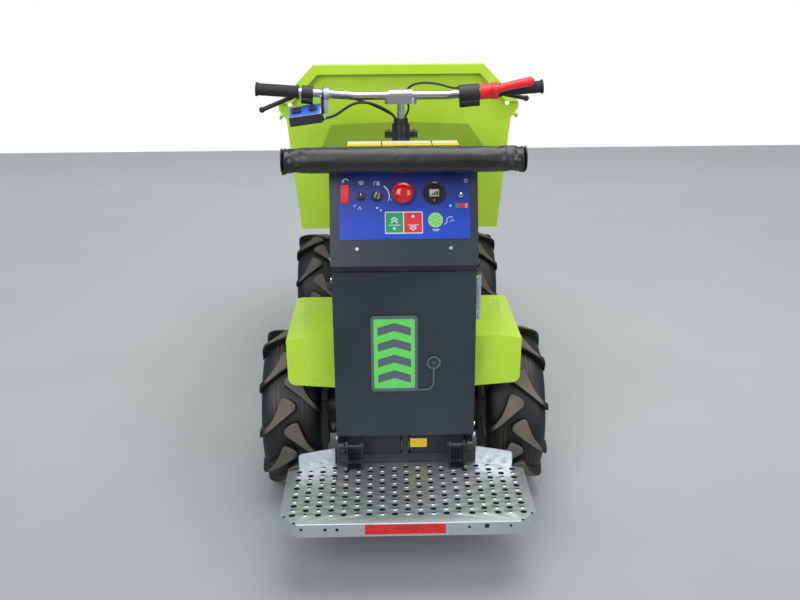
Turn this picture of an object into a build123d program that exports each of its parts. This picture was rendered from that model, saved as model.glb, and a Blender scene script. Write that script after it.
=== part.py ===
from build123d import *
import os
from math import cos, hypot, pi, radians, sin, tan

os.makedirs("parts", exist_ok=True)

# ---------------------------------------------------------------- driving dimensions (mm, degrees)
# +X right, +Y forward, +Z up; the origin is on the floor under the middle of the machine

# fits
RUN = 0.05               # radial running clearance of shafts and pins
REST = 0.3               # distance kept between pieces that only touch
OPEN_EYE = 1.5           # radial clearance of the eye at each open pivot
BEAD_GAP = 0.2           # between a tyre's bead and its rim

# wheels
WHEELBASE = 1150.0
REAR_AXLE_Y = -434.0
TRACK = 628.0
TYRE_R = 228.0
TYRE_W = 172.0
SHOULDER = 26.0          # width of each sloping shoulder of the tread
SHOULDER_DROP = 9.0
SIDEWALL_R = 158.0       # radius at the widest part of the sidewall
LUG_H = 21.0
LUG_COUNT = 10
TYRE_FACETS = 20         # flats round each tyre
LUG_NOSE = 16.0          # how far each lug's nose crosses the centre line
LUG_REACH = 59.0         # nose, along the tread
LUG_TIP = 32.0           # length of the nose's blunt end
LUG_TAIL = 60.0          # tail, along the tread
LUG_TAIL_W = 14.0
REAR_TREAD_TURN = -15.0  # where the tread pattern starts, front and rear wheels
FRONT_TREAD_TURN = 0.0
RIM_R = 101.6
RIM_W = 128.0
RIM_T = 4.0
RIM_FLANGE = 13.0
DISC_T = 5.0
DISC_OUT = 18.0          # wheel disc outside the wheel's middle
DISH = 16.0
WHEEL_HOLE_R = 11.0
WHEEL_HOLE_PCD_R = 82.0
WHEEL_HOLES = 8
HUB_R = 34.0
HUB_L = 60.0
HUB_CAP_R = 24.0
SHAFT_R = 15.0
SHAFT_IN_X = 140.0       # inner end of each half shaft

# chassis
RAIL_X = 90.0
RAIL_W = 40.0
RAIL_H = 50.0
RAIL_Z = 270.0           # underside of the rails
RAIL_REAR_Y = -592.0
RAIL_FRONT_Y = 830.0
CROSS_W = 40.0
FRONT_CROSS = 220.0
TRAY_Z = 205.0
TRAY_PLATE_T = 5.0
POST_W = 16.0
POST_D = 20.0
SILL_H = 20.0
AXLE_TUBE_R = 30.0
AXLE_TUBE_END = 208.0
AXLE_PAD = 50.0          # length of the axle seats under the rails
DIFF_R = 72.0
DIFF_HALF = 36.0
DIFF_CONE = 80.0
DRUM_R = 84.0
DRUM_W = 30.0
DRUM_OUT_X = 220.0
MOTOR_R = 56.0
MOTOR_L = 180.0

# steering
KINGPIN_X = 205.0
KINGPIN_R = 9.0
KINGPIN_BOSS_R = 17.0
YOKE_T = 12.0
YOKE_W = 32.0
YOKE_L = 44.0
KNUCKLE_H = 56.0
BEAM_H = 50.0
COLLAR_R = 22.0
COLLAR_W = 10.0
SPINDLE_OVER = 14.0      # spindle stands past the hub
BEAM_WALL = 20.0
ARM_W = 16.0
ARM_T = 12.0
TIE_ARM_L = 110.0
TIE_Z = 184.0
LINK_IN = 30.0           # drag-link pins inboard of the steering axes
LINK_REAR_Z = 455.0
LINK_FRONT_Z = 345.0
LINK_PIN_LOW = 14.0      # link pin below the middle of its eye
ROD_R = 8.0
EYE_R = 13.0
EYE_H = 20.0
PIN_R = 6.0
PIN_OVER = 6.0           # pins stand past their eyes
COLUMN_Y = -454.0
COLUMN_R = 10.0
COLUMN_HOLE = 8.0        # radial room round the column in the hood
COLUMN_BOSS_R = 20.0

# body
SHEET = 3.0
EDGE_R = 4.0             # bend radius of the outer edges
BODY_W = 362.0
BODY_REAR_Y = -750.0
BODY_FRONT_Y = -262.0
BODY_BOTTOM_Z = 283.0
BODY_FRAME = 30.0        # margin round the door opening
FLOOR_OPENING = 240.0    # height of the opening for the linkage
BEARING_DEPTH = 90.0
SHELF_T = 5.0
DOOR_TOP_Z = 732.0
DOOR_PIN_OUT = 7.0       # hinge pins outside the body's side
DOOR_PIN_R = 3.0
DOOR_EYE_R = 6.0
DOOR_EYE_H = 14.0
DOOR_EYE_LOW = 26.0      # lower hinge above the door's lower edge
DOOR_EYE_TOP = 40.0      # upper hinge below the door's upper edge
LATCH_Z = 655.0
LATCH_L = 116.0
LATCH_W = 26.0
LATCH_BAR_R = 5.0
LATCH_BAR_OUT = 6.0
CONSOLE_BOTTOM_Z = 759.0
CONSOLE_OVER = 42.0      # console's lower edge behind the body
CONSOLE_SLOPE = 72.0 / 217.0
CONSOLE_STEP = 6.0
HOOD_Z = 1028.0
HOOD_W = 398.0
HOOD_T = 4.0
HOOD_APEX = 60.0
HOOD_REAR_IN = 12.0
HOOD_CORNER_R = 10.0
BEARING_W = 88.0
BEARING_D = 46.0
BEARING_FLANGE_T = 8.0
BEARING_H = 27.0
BOOT_R = 19.0
BOOT_H = 14.0

# console
FASCIA_W = 320.0
FASCIA_H = 162.0
FASCIA_X = 2.0
FASCIA_UP = 146.0        # middle of the fascia, up the console's slope
FASCIA_T = 2.0
CONTROLS_UP = 176.0
SMALL_UP = 170.0         # small controls, up the slope
STOP_R = 26.0
STOP_X = -2.0
GAUGE_R = 27.0
GAUGE_X = 74.0
KEY_R = 13.0
KEY_X = -65.0
KNOB_R = 8.0
KNOB_X = -104.0
INDICATOR_R = 8.0
INDICATOR_X = 138.0
ROCKER_X = -143.0
ROCKER_W = 20.0
ROCKER_H = 44.0
ROCKER_OUT = 6.0

# batteries
BATTERY_GAP = 4.0        # beside the tray's posts
BATTERY_REAR_GAP = 1.7
BATTERY_W = 146.0
BATTERY_D = 140.0
BATTERY_H = 222.0
BATTERY_LID = 22.0
TERMINAL_R = 8.0

# fenders
FENDER_OUT_X = 311.0
FENDER_REAR_Y = -687.0
FENDER_LOW_Z = 394.0
FENDER_TOP_Z = 536.0
FENDER_FLAT_Y = -344.0
FENDER_NOSE = 130.0      # run of the sloping front
FENDER_CREASE_X = 262.0  # top crease at the rear, at the front 30 further out
FENDER_CREASE_OUT = 30.0
FENDER_FALL = 12.0       # fall of the outer facets
FENDER_TURN = 22.0       # how far the rear facet turns forward at its outer corner
FENDER_CORNER_R = 20.0
FENDER_HOLE_R = 3.5

# platform
DECK_W = 620.0
DECK_Z = 200.0
DECK_L = 310.0
DECK_AHEAD = 37.0        # front edge ahead of the hinge
DECK_CUT = 44.0          # rear corners cut off
DECK_SHOULDER_X = 172.0  # from here the front edge falls back to clear the tyres
DECK_SHOULDER = 50.0
DECK_FLANGE = 35.0
DECK_T = 3.0
HOLE_PITCH_X = 31.0
HOLE_PITCH_Y = 21.0
HOLE_COLUMNS = 19
HOLE_ROWS = 12
HOLE_REAR = 43.0         # last row of holes from the rear edge
HOLE_R = 8.0
HOLE_MARGIN = 14.0
GUARD_IN = 13.0          # from the tray's shoulder to the guard
GUARD_L = 104.0
GUARD_H = 45.0
GUARD_R = 9.0
HINGE_BACK = 22.0        # hinge behind the body
DECK_HINGE_Z = 262.0
HINGE_PLATE_W = 30.0
HINGE_PLATE_T = 4.0
HINGE_PLATE_GAP = 34.0
HINGE_OUT = 155.0
HINGE_PIN_OVER = 4.0

# bump pad
PAD_L = 577.0
PAD_R = 31.0
PAD_STANDOFF = 77.6      # pad's axis behind the console's face
PAD_Z = 1017.0
PAD_TUBE_R = 11.0
PAD_TUBE_IN = 20.0       # tube ends short of the pad's ends
PAD_ARM_X = 120.0
PAD_ARM_W = 30.0
PAD_ARM_T = 12.0

# handlebar
BAR_R = 11.1
BAR_Z = 1133.0           # axis of the level middle
BAR_MID = 120.0          # half length of the level middle
BAR_HALF = 366.0
BAR_RISE = 19.0
BAR_BEND_R = 220.0
GRIP_R = 16.0
GRIP_END_R = 18.5
STEM_TOP_Z = 1112.0
CLAMP_L = 88.0
CLAMP_D = 36.0
SADDLE_L = 62.0
SWITCH_X = -249.0
SWITCH_W = 86.0
SWITCH_D = 52.0
SWITCH_REAR_H = 24.0
SWITCH_FRONT_H = 46.0
SWITCH_Z = 1064.0
SWITCH_LEAN = 7.5       # right end up
SWITCH_BACK = 22.0       # box behind the bar
SWITCH_RING_X = -190.0
GLAND_R = 6.0
GLAND_L = 8.0
GLAND_UP = 8.0
KEY_SIDE = 24.0
KEY_ROUND_R = 11.0
KEY_H = 5.0
CABLE_R = 3.5
CABLE_SUNK = 5.0         # cable ends pressed into the boot
CORNER_SHARE = 0.45      # of the shorter run, given to each arc of a cable
GRIP_FLANGE_W = 5.0
KNOB_BALL_R = 12.0
LEVER_RING_IN = 241.3
LEVER_RING_OUT = 259.0
LEVER_R = 6.0
LEVER_BALL_R = 8.0

# skip
SKIP_FLOOR_Z = 690.0
SKIP_REAR_Y = -112.0
SKIP_FLOOR_FRONT_Y = 600.0
SKIP_LIP_Y = 1024.2
SKIP_RIM_Z = 1045.0
SKIP_LIP_Z = 1000.0
SKIP_FLOOR_W = 616.0
SKIP_RIM_W = 676.0
SKIP_RIM_LEVEL = 60.0    # level part of the rim, before it falls to the spout
SKIP_REAR_LEAN = 40.0
SKIP_GUARD_Z = 1195.0
SKIP_GUARD_W = 500.0
SKIP_EAR_W = 720.0
SKIP_FLANGE = 22.0
SKIP_FLANGE_LIP = 12.0
EAR_LOW = 18.0
EAR_HIGH = 38.0
EYE_HOLE_R = 7.0
EYE_HOLE_IN = 34.0
FOLD_DEPTH = 22.0
FOLD_LIP = 26.0
TIP_Y = 666.0
TIP_Z = 600.0
TIP_PIN_R = 12.0
TIP_EYE_R = 24.0
STAND_TOP_Z = 640.0
STAND_REAR_Y = -75.0
STAND_REAR_X = 175.0
STAND_POST = 40.0
STAND_SIDE_POST = 30.0
CHANNEL_X = 130.0
CHANNEL_W = 40.0
CHANNEL_T = 5.0
CHANNEL_L = 700.0
CHANNEL_MID_Y = 270.0
EAR_T = 10.0
EAR_X = 115.0
EAR_REACH = 110.0        # of the tipping ears, back along the channels

# tipping cylinder
CYL_FOOT_Y = 275.0
CYL_FOOT_Z = 350.0
CYL_EYE_Y = 540.0
CYL_EYE_Z = 634.0
CYL_R = 27.0
CYL_ROD_R = 12.0
CYL_PIN_R = 10.0
CYL_EYE_R = 18.0
CYL_NECK = 30.0          # solid neck between the foot eye and the barrel
CYL_SHORT = 45.0         # rod shown between the barrel and its eye
LUG_PLATE_T = 8.0
LUG_PLATE_W = 44.0
BRACKET_X = 21.0
FOOT_X = 15.0
FOOT_PLATE_W = 60.0
FOOT_PLATE_T = 6.0


def across(y):
    """Plane facing the rear at depth y: sketch x is +X, sketch y is +Z."""
    return Plane(origin=(0, y, 0), x_dir=(1, 0, 0), z_dir=(0, -1, 0))


def side(x):
    """Plane facing right at x: sketch x is +Y, sketch y is +Z."""
    return Plane(origin=(x, 0, 0), x_dir=(0, 1, 0), z_dir=(1, 0, 0))


def level(z):
    """Plane facing up at height z."""
    return Plane.XY.offset(z)


def save(solid, name):
    solid.label = name
    export_step(solid, f"parts/{name}.step")


# places worked out from the sizes above
t = SHEET
front_axle_y = REAR_AXLE_Y + WHEELBASE
axle_z = TYRE_R
rail_top = RAIL_Z + RAIL_H
tray_rear_y = BODY_REAR_Y + 2 * t + REST
tray_x = BODY_W / 2 - t - 1
post_x = tray_x - POST_W / 2
deck_hinge_y = BODY_REAR_Y - HINGE_BACK
console_bottom_y = BODY_REAR_Y - CONSOLE_OVER
console_top_y = console_bottom_y + (HOOD_Z - CONSOLE_BOTTOM_Z) * CONSOLE_SLOPE

# ---------------------------------------------------------------- wheels
# tyres are built from flat facets: the ring's corners lie on the true radius
flange_r = RIM_R + RIM_FLANGE
carcass_r = TYRE_R - LUG_H
half_w = TYRE_W / 2
wall_w = half_w - 2
lug_root_r = carcass_r - 4


def facet_ring(radius, width, slope, drop):
    """Wheel-shaped prism about the X axis with both outer edges cut back."""
    with BuildPart() as ring:
        with BuildSketch(Plane.YZ.offset(-width / 2)):
            RegularPolygon(radius, TYRE_FACETS)
        extrude(amount=width)
        ends = ring.faces().filter_by(Axis.X)
        for end in (ends.sort_by(Axis.X)[0], ends.sort_by(Axis.X)[-1]):
            chamfer(end.edges(), length=slope, length2=drop, reference=end)
    return ring.part


with BuildPart() as tread_ring:
    add(facet_ring(TYRE_R, TYRE_W, SHOULDER_DROP, SHOULDER))
    with BuildSketch(Plane.YZ.offset(-half_w)):
        RegularPolygon(lug_root_r, TYRE_FACETS)
    extrude(amount=TYRE_W, mode=Mode.SUBTRACT)

# one lug: nose across the centre line, hollow leading edge, straight trailing edge, thin tail at the edge
lug_end = half_w + 2
with BuildPart() as lug:
    with BuildSketch(level(0)):
        with BuildLine():
            Polyline(
                (-LUG_NOSE, LUG_REACH - LUG_TIP), (LUG_NOSE + 6, LUG_REACH), (half_w * 0.40, 12),
                (half_w * 0.60, -24), (lug_end, LUG_TAIL_W - LUG_TAIL), (lug_end, -LUG_TAIL), close=True,
            )
        make_face()
    extrude(amount=TYRE_R + 1)
    add(tread_ring.part, mode=Mode.INTERSECT)

with BuildPart() as tyre:
    add(facet_ring(carcass_r, 2 * wall_w, SHOULDER_DROP, SHOULDER_DROP * 2))
    turn = 360 / LUG_COUNT
    with Locations(*[Location((0, 0, 0), (turn * k, 0, 0)) for k in range(LUG_COUNT)]):
        add(lug.part)
    other_lug = lug.part.mirror(Plane.YZ)
    with Locations(*[Location((0, 0, 0), (turn * (k + 0.5), 0, 0)) for k in range(LUG_COUNT)]):
        add(other_lug)
    # hollow sidewalls and the hole for the rim
    for sx in (-1, 1):
        with BuildSketch(Plane.YZ.offset(sx * (wall_w + 1))):
            RegularPolygon(SIDEWALL_R, TYRE_FACETS)
        with BuildSketch(Plane.YZ.offset(sx * (RIM_W / 2 - RIM_T))):
            RegularPolygon(flange_r + 2, TYRE_FACETS, major_radius=False)
        loft(ruled=True, mode=Mode.SUBTRACT)
    with BuildSketch(Plane.YZ.offset(-half_w)):
        RegularPolygon(RIM_R + BEAD_GAP, TYRE_FACETS, major_radius=False)
    extrude(amount=TYRE_W, mode=Mode.SUBTRACT)


def make_rim(outer, driven):
    """Barrel, dished disc and hub about the X axis; outer is +1 on the right side."""
    disc = DISC_OUT * outer
    ring_in = disc + outer * DISH
    ring_out = ring_in + outer * DISC_T
    lip = RIM_W / 2
    inner_lip = lip - RIM_T + BEAD_GAP
    barrel_r = RIM_R - RIM_T
    with BuildPart() as rim:
        with BuildSketch(Plane.XZ):
            with BuildLine():
                Polyline(
                    (-lip, flange_r), (-lip, barrel_r), (lip, barrel_r), (lip, flange_r),
                    (inner_lip, flange_r), (inner_lip, RIM_R), (-inner_lip, RIM_R), (-inner_lip, flange_r),
                    close=True,
                )
            make_face()
            # dished disc, from the barrel to the hub
            with BuildLine():
                Polyline(
                    (disc, 0), (disc, HUB_R + 12), (ring_in, HUB_R + 30), (ring_in, RIM_R - 1),
                    (ring_out, RIM_R - 1), (ring_out, HUB_R + 27), (disc + outer * DISC_T, HUB_R + 9),
                    (disc + outer * DISC_T, 0), close=True,
                )
            make_face()
            # hub and its cap
            with BuildLine():
                near = disc - outer * HUB_L / 2
                Polyline((near, 0), (near, HUB_R), (disc + outer, HUB_R), (disc + outer, 0), close=True)
            make_face()
            with BuildLine():
                far = disc + outer * HUB_L / 2
                Polyline((disc, 0), (disc, HUB_CAP_R + 4), (far, HUB_CAP_R), (far, 0), close=True)
            make_face()
        revolve(axis=Axis.X)
        with BuildSketch(Plane.YZ.offset(disc + outer * DISH / 2)):
            with PolarLocations(WHEEL_HOLE_PCD_R, WHEEL_HOLES):
                Circle(WHEEL_HOLE_R)
        extrude(amount=outer * DISH * 2, mode=Mode.SUBTRACT)
        if driven:
            with BuildSketch(Plane.YZ.offset(disc)):
                Circle(SHAFT_R)
            extrude(amount=-outer * (TRACK / 2 - SHAFT_IN_X) - disc)
        else:
            with BuildSketch(Plane.YZ.offset(-outer * HUB_L)):
                Circle(SHAFT_R + RUN)
            extrude(amount=outer * 2.5 * HUB_L, mode=Mode.SUBTRACT)
    return rim.part


wheels = [
    ("rear_left", -TRACK / 2, REAR_AXLE_Y, -1, True, REAR_TREAD_TURN),
    ("rear_right", TRACK / 2, REAR_AXLE_Y, 1, True, REAR_TREAD_TURN),
    ("front_left", -TRACK / 2, front_axle_y, -1, False, FRONT_TREAD_TURN),
    ("front_right", TRACK / 2, front_axle_y, 1, False, FRONT_TREAD_TURN),
]
for name, x, y, outer, driven, tread_turn in wheels:
    place = Location((x, y, axle_z))
    save(tyre.part.moved(place * Location((0, 0, 0), (tread_turn, 0, 0))), f"tyre_{name}")
    save(make_rim(outer, driven).moved(place), f"rim_{name}")

# ---------------------------------------------------------------- chassis
rail_len = RAIL_FRONT_Y - RAIL_REAR_Y
# crossmembers: y, width
crossmembers = [
    (RAIL_REAR_Y + CROSS_W / 2, 2 * tray_x),
    (STAND_REAR_Y, 2 * STAND_REAR_X + STAND_SIDE_POST),
    (RAIL_FRONT_Y - CROSS_W / 2, FRONT_CROSS),
]
with BuildPart() as chassis_frame:
    with BuildSketch(level(RAIL_Z)):
        with Locations((-RAIL_X, RAIL_REAR_Y + rail_len / 2), (RAIL_X, RAIL_REAR_Y + rail_len / 2)):
            Rectangle(RAIL_W, rail_len)
        for y, width in crossmembers:
            with Locations((0, y)):
                Rectangle(width, CROSS_W)
    extrude(amount=RAIL_H)
    # battery tray: side plates, posts, rear sill and front bearer
    plate_front = RAIL_REAR_Y + CROSS_W / 2
    for sx in (-1, 1):
        with BuildSketch(side(sx * tray_x)):
            with BuildLine():
                Polyline(
                    (tray_rear_y, TRAY_Z), (plate_front - CROSS_W, TRAY_Z), (plate_front, RAIL_Z),
                    (plate_front, rail_top), (tray_rear_y, rail_top), close=True,
                )
            make_face()
        extrude(amount=-sx * TRAY_PLATE_T)
    with BuildSketch(level(TRAY_Z)):
        with Locations(*[(x, tray_rear_y + POST_D / 2) for x in (-post_x, 0, post_x)]):
            Rectangle(POST_W, POST_D)
    extrude(amount=BODY_BOTTOM_Z + SILL_H - TRAY_Z)
    with BuildSketch(level(TRAY_Z)):
        with Locations((0, tray_rear_y + POST_D / 2), (0, plate_front - CROSS_W - POST_D / 2)):
            Rectangle(2 * tray_x, POST_D)
    extrude(amount=SILL_H)

save(chassis_frame.part, "chassis_frame")

# front posts carry the tipping pin, rear posts and a beam carry the skip at rest
pin_end = EAR_X + EAR_T + REST
with BuildPart() as skip_stand:
    with BuildSketch(level(rail_top)):
        with Locations((-RAIL_X, TIP_Y), (RAIL_X, TIP_Y)):
            Rectangle(STAND_POST, STAND_POST)
        with Locations((-STAND_REAR_X, STAND_REAR_Y), (STAND_REAR_X, STAND_REAR_Y)):
            Rectangle(STAND_SIDE_POST, STAND_POST)
    extrude(amount=STAND_TOP_Z - rail_top)
    with BuildSketch(level(STAND_TOP_Z - STAND_POST)):
        with Locations((0, STAND_REAR_Y)):
            Rectangle(2 * STAND_REAR_X + STAND_SIDE_POST, STAND_POST)
    extrude(amount=STAND_POST)
    with BuildSketch(side(-pin_end)):
        with Locations((TIP_Y, TIP_Z)):
            Circle(TIP_PIN_R)
    extrude(amount=2 * pin_end)
    for sx in (-1, 1):
        with BuildSketch(side(sx * pin_end)):
            with Locations((TIP_Y, TIP_Z)):
                RegularPolygon(TIP_PIN_R + PIN_OVER, 6)
        extrude(amount=sx * PIN_OVER)

save(skip_stand.part, "skip_stand")

with BuildPart() as rear_axle:
    with BuildSketch(side(-AXLE_TUBE_END)):
        with Locations((REAR_AXLE_Y, axle_z)):
            Circle(AXLE_TUBE_R)
    extrude(amount=2 * AXLE_TUBE_END)
    with BuildSketch(across(REAR_AXLE_Y)):
        with BuildLine():
            Polyline(
                (-DIFF_CONE, axle_z), (-DIFF_CONE, axle_z + AXLE_TUBE_R), (-DIFF_HALF, axle_z + DIFF_R),
                (DIFF_HALF, axle_z + DIFF_R), (DIFF_CONE, axle_z + AXLE_TUBE_R), (DIFF_CONE, axle_z),
                close=True,
            )
        make_face()
    revolve(axis=Axis((0, REAR_AXLE_Y, axle_z), (1, 0, 0)))
    with BuildSketch(level(axle_z)):
        with Locations((-RAIL_X, REAR_AXLE_Y), (RAIL_X, REAR_AXLE_Y)):
            Rectangle(RAIL_W, AXLE_PAD)
    extrude(amount=RAIL_Z - axle_z)
    # brake drums beside the wheels
    for sx in (-1, 1):
        with BuildSketch(side(sx * DRUM_OUT_X)):
            with Locations((REAR_AXLE_Y, axle_z)):
                Circle(DRUM_R)
        extrude(amount=-sx * DRUM_W)
        with BuildSketch(side(sx * (DRUM_OUT_X + 1))):
            with Locations((REAR_AXLE_Y, axle_z)):
                Circle(SHAFT_R + RUN)
        extrude(amount=-sx * (DRUM_OUT_X + 3 - SHAFT_IN_X), mode=Mode.SUBTRACT)

save(rear_axle.part, "rear_axle")

with BuildPart() as drive_motor:
    with BuildSketch(across(REAR_AXLE_Y + DIFF_R + REST)):
        with Locations((0, axle_z)):
            Circle(MOTOR_R)
    extrude(amount=-MOTOR_L)
    chamfer(drive_motor.faces().sort_by(Axis.Y)[-1].edges(), length=MOTOR_R / 6)

save(drive_motor.part, "drive_motor")

yoke_in = KNUCKLE_H / 2 + 1
yoke_low = axle_z - yoke_in - YOKE_T
with BuildPart() as front_axle:
    with BuildSketch(level(axle_z - BEAM_H / 2)):
        with Locations((0, front_axle_y)):
            Rectangle(2 * (KINGPIN_X - BEAM_H / 2), BEAM_H)
    extrude(amount=BEAM_H)
    with BuildSketch(level(axle_z)):
        with Locations((-RAIL_X, front_axle_y), (RAIL_X, front_axle_y)):
            Rectangle(RAIL_W, AXLE_PAD)
    extrude(amount=RAIL_Z - axle_z)
    for sx in (-1, 1):
        for low in (yoke_low, axle_z + yoke_in):
            with BuildSketch(level(low)):
                with Locations((sx * KINGPIN_X, front_axle_y)):
                    Circle(YOKE_W / 2)
                with Locations((sx * (KINGPIN_X - YOKE_L / 2), front_axle_y)):
                    Rectangle(YOKE_L, YOKE_W)
            extrude(amount=YOKE_T)
        with BuildSketch(level(yoke_low)):
            with Locations((sx * (KINGPIN_X - YOKE_L + BEAM_WALL / 2 - 2), front_axle_y)):
                Rectangle(BEAM_WALL, BEAM_H)
            with Locations((sx * KINGPIN_X, front_axle_y)):
                Circle(KINGPIN_R)
        extrude(amount=2 * (yoke_in + YOKE_T))

save(front_axle.part, "front_axle")

arm_low = axle_z - KNUCKLE_H / 2
arm_y = front_axle_y - TIE_ARM_L
hub_in = TRACK / 2 + DISC_OUT - HUB_L / 2


def make_knuckle(sx):
    """Kingpin boss, wheel spindle and steering arm; sx is +1 on the right side."""
    x = sx * KINGPIN_X
    with BuildPart() as knuckle:
        with BuildSketch(level(arm_low)):
            with Locations((x, front_axle_y)):
                Circle(KINGPIN_BOSS_R)
        extrude(amount=KNUCKLE_H)
        with BuildSketch(side(x)):
            with Locations((front_axle_y, axle_z)):
                Circle(SHAFT_R)
        extrude(amount=sx * (hub_in + HUB_L + SPINDLE_OVER - KINGPIN_X))
        # collars on both sides of the hub
        for start, width in ((hub_in + HUB_L + 1, COLLAR_W), (hub_in - 1, -2 * COLLAR_W)):
            with BuildSketch(side(sx * start)):
                with Locations((front_axle_y, axle_z)):
                    Circle(COLLAR_R)
            extrude(amount=sx * width)
        # steering arm with the tie-rod pin below its end
        with BuildSketch(level(arm_low)):
            with Locations((x, front_axle_y - TIE_ARM_L / 2)):
                Rectangle(ARM_W, TIE_ARM_L - 20)
            with Locations((x, arm_y)):
                Circle(EYE_R)
        extrude(amount=ARM_T)
        pin_low = TIE_Z - EYE_H / 2 - PIN_OVER
        with BuildSketch(level(pin_low)):
            with Locations((x, arm_y)):
                Circle(PIN_R)
        extrude(amount=arm_low - pin_low)
        if sx < 0:
            # riser plate that lifts the drag-link pin over the rails
            riser_foot = front_axle_y - COLLAR_R
            riser_top = LINK_FRONT_Z - LINK_PIN_LOW
            with BuildSketch(side(x - ARM_T / 2)):
                with BuildLine():
                    Polyline(
                        (riser_foot, arm_low), (arm_y - ARM_T, arm_low), (arm_y - ARM_T, riser_top),
                        (arm_y + ARM_T, riser_top), (riser_foot, axle_z + 10), close=True,
                    )
                make_face()
            extrude(amount=ARM_T)
            with BuildSketch(level(riser_top - ARM_T)):
                with Locations((x + LINK_IN / 2, arm_y)):
                    Rectangle(LINK_IN + ARM_T, 2 * ARM_T)
                with Locations((x + LINK_IN, arm_y)):
                    Circle(ARM_T)
            extrude(amount=ARM_T)
            with BuildSketch(level(riser_top)):
                with Locations((x + LINK_IN, arm_y)):
                    Circle(PIN_R)
            extrude(amount=LINK_PIN_LOW + EYE_H / 2 + PIN_OVER)
        with BuildSketch(level(arm_low)):
            with Locations((x, front_axle_y)):
                Circle(KINGPIN_R + RUN)
        extrude(amount=KNUCKLE_H, mode=Mode.SUBTRACT)
    return knuckle.part


save(make_knuckle(-1), "knuckle_left")
save(make_knuckle(1), "knuckle_right")


def rod_with_eyes(start, end):
    """Track rod from start to end with an upright eye at each; the eye at end is the open pivot."""
    run = Vector(*end) - Vector(*start)
    way = run.normalized()
    with BuildPart() as rod:
        with BuildSketch(Plane(origin=start, z_dir=run)):
            Circle(ROD_R)
        extrude(amount=run.length)
        # adjusting nuts beside the eyes
        for corner, toward in ((Vector(*start), way), (Vector(*end), -way)):
            with BuildSketch(Plane(origin=corner + toward * (EYE_R + ROD_R), z_dir=toward)):
                RegularPolygon(ROD_R + 4, 6)
            extrude(amount=ROD_R + 2)
        for point, clear in ((start, RUN), (end, OPEN_EYE)):
            with BuildSketch(level(point[2] - EYE_H / 2)):
                with Locations(point[:2]):
                    Circle(EYE_R)
            extrude(amount=EYE_H)
            with BuildSketch(level(point[2] - 2 * EYE_R)):
                with Locations(point[:2]):
                    Circle(PIN_R + clear)
            extrude(amount=4 * EYE_R, mode=Mode.SUBTRACT)
    return rod.part


save(rod_with_eyes((-KINGPIN_X, arm_y, TIE_Z), (KINGPIN_X, arm_y, TIE_Z)), "tie_rod")
link_y = COLUMN_Y - TIE_ARM_L
save(rod_with_eyes((LINK_IN, link_y, LINK_REAR_Z), (LINK_IN - KINGPIN_X, arm_y, LINK_FRONT_Z)), "drag_link")

# ---------------------------------------------------------------- steering column and handlebar
column_low = LINK_REAR_Z + EYE_H / 2 + 2
shelf_z = column_low + ARM_T + PIN_OVER
with BuildPart() as steering_column:
    with BuildSketch(level(column_low)):
        with Locations((0, COLUMN_Y)):
            Circle(COLUMN_R)
    extrude(amount=STEM_TOP_Z - column_low)
    # lever with the drag-link pin below its end
    with BuildSketch(level(column_low)):
        with Locations((0, COLUMN_Y)):
            Circle(COLUMN_BOSS_R)
        with Locations((0, COLUMN_Y - TIE_ARM_L / 2)):
            Rectangle(ARM_W + 2, TIE_ARM_L)
        with Locations((LINK_IN / 2, link_y)):
            Rectangle(LINK_IN + ARM_W + 2, ARM_W + 2)
        with Locations((LINK_IN, link_y)):
            Circle(EYE_R)
    extrude(amount=ARM_T)
    with BuildSketch(level(LINK_REAR_Z - EYE_H / 2 - PIN_OVER)):
        with Locations((LINK_IN, link_y)):
            Circle(PIN_R)
    extrude(amount=column_low - LINK_REAR_Z + EYE_H / 2 + PIN_OVER)

save(steering_column.part, "steering_column")

saddle_r = BAR_R + 6
with BuildPart() as handlebar_clamp:
    with BuildSketch(level(STEM_TOP_Z)):
        with Locations((0, COLUMN_Y)):
            SlotOverall(CLAMP_L, CLAMP_D)
    extrude(amount=BAR_Z - STEM_TOP_Z - 4)
    with BuildSketch(level(STEM_TOP_Z)):
        with Locations((0, COLUMN_Y)):
            Rectangle(SADDLE_L, 2 * saddle_r)
    extrude(amount=BAR_Z - STEM_TOP_Z)
    with BuildSketch(side(-SADDLE_L / 2)):
        with Locations((COLUMN_Y, BAR_Z)):
            Circle(saddle_r)
    extrude(amount=SADDLE_L)
    with BuildSketch(side(-CLAMP_L)):
        with Locations((COLUMN_Y, BAR_Z)):
            Circle(BAR_R + RUN)
    extrude(amount=2 * CLAMP_L, mode=Mode.SUBTRACT)

save(handlebar_clamp.part, "handlebar_clamp")

with BuildPart() as handlebar:
    with BuildLine() as bar_line:
        FilletPolyline(
            (-BAR_HALF, COLUMN_Y, BAR_Z + BAR_RISE), (-BAR_MID, COLUMN_Y, BAR_Z), (BAR_MID, COLUMN_Y, BAR_Z),
            (BAR_HALF, COLUMN_Y, BAR_Z + BAR_RISE), radius=BAR_BEND_R,
        )
    with BuildSketch(Plane(origin=bar_line.line @ 0, z_dir=bar_line.line % 0)):
        Circle(BAR_R)
    sweep()

save(handlebar.part, "handlebar")

bar_slope = BAR_RISE / (BAR_HALF - BAR_MID)
bar_stretch = hypot(1, bar_slope)


def bar_plane(x):
    """Plane across the rising end of the bar at x, its normal pointing outward."""
    sx = 1 if x > 0 else -1
    z = BAR_Z + (abs(x) - BAR_MID) * bar_slope
    return Plane(origin=(x, COLUMN_Y, z), x_dir=(0, 1, 0), z_dir=(sx, 0, bar_slope))


def bar_bore(inner, outer):
    """What the bar takes out of a sleeve, as far as the bar itself reaches."""
    reach = min(abs(outer), BAR_HALF + 1) - abs(inner)
    with BuildPart() as bore:
        with BuildSketch(bar_plane(inner)):
            Circle(BAR_R + RUN)
        extrude(amount=reach * bar_stretch)
    return bore.part


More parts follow.
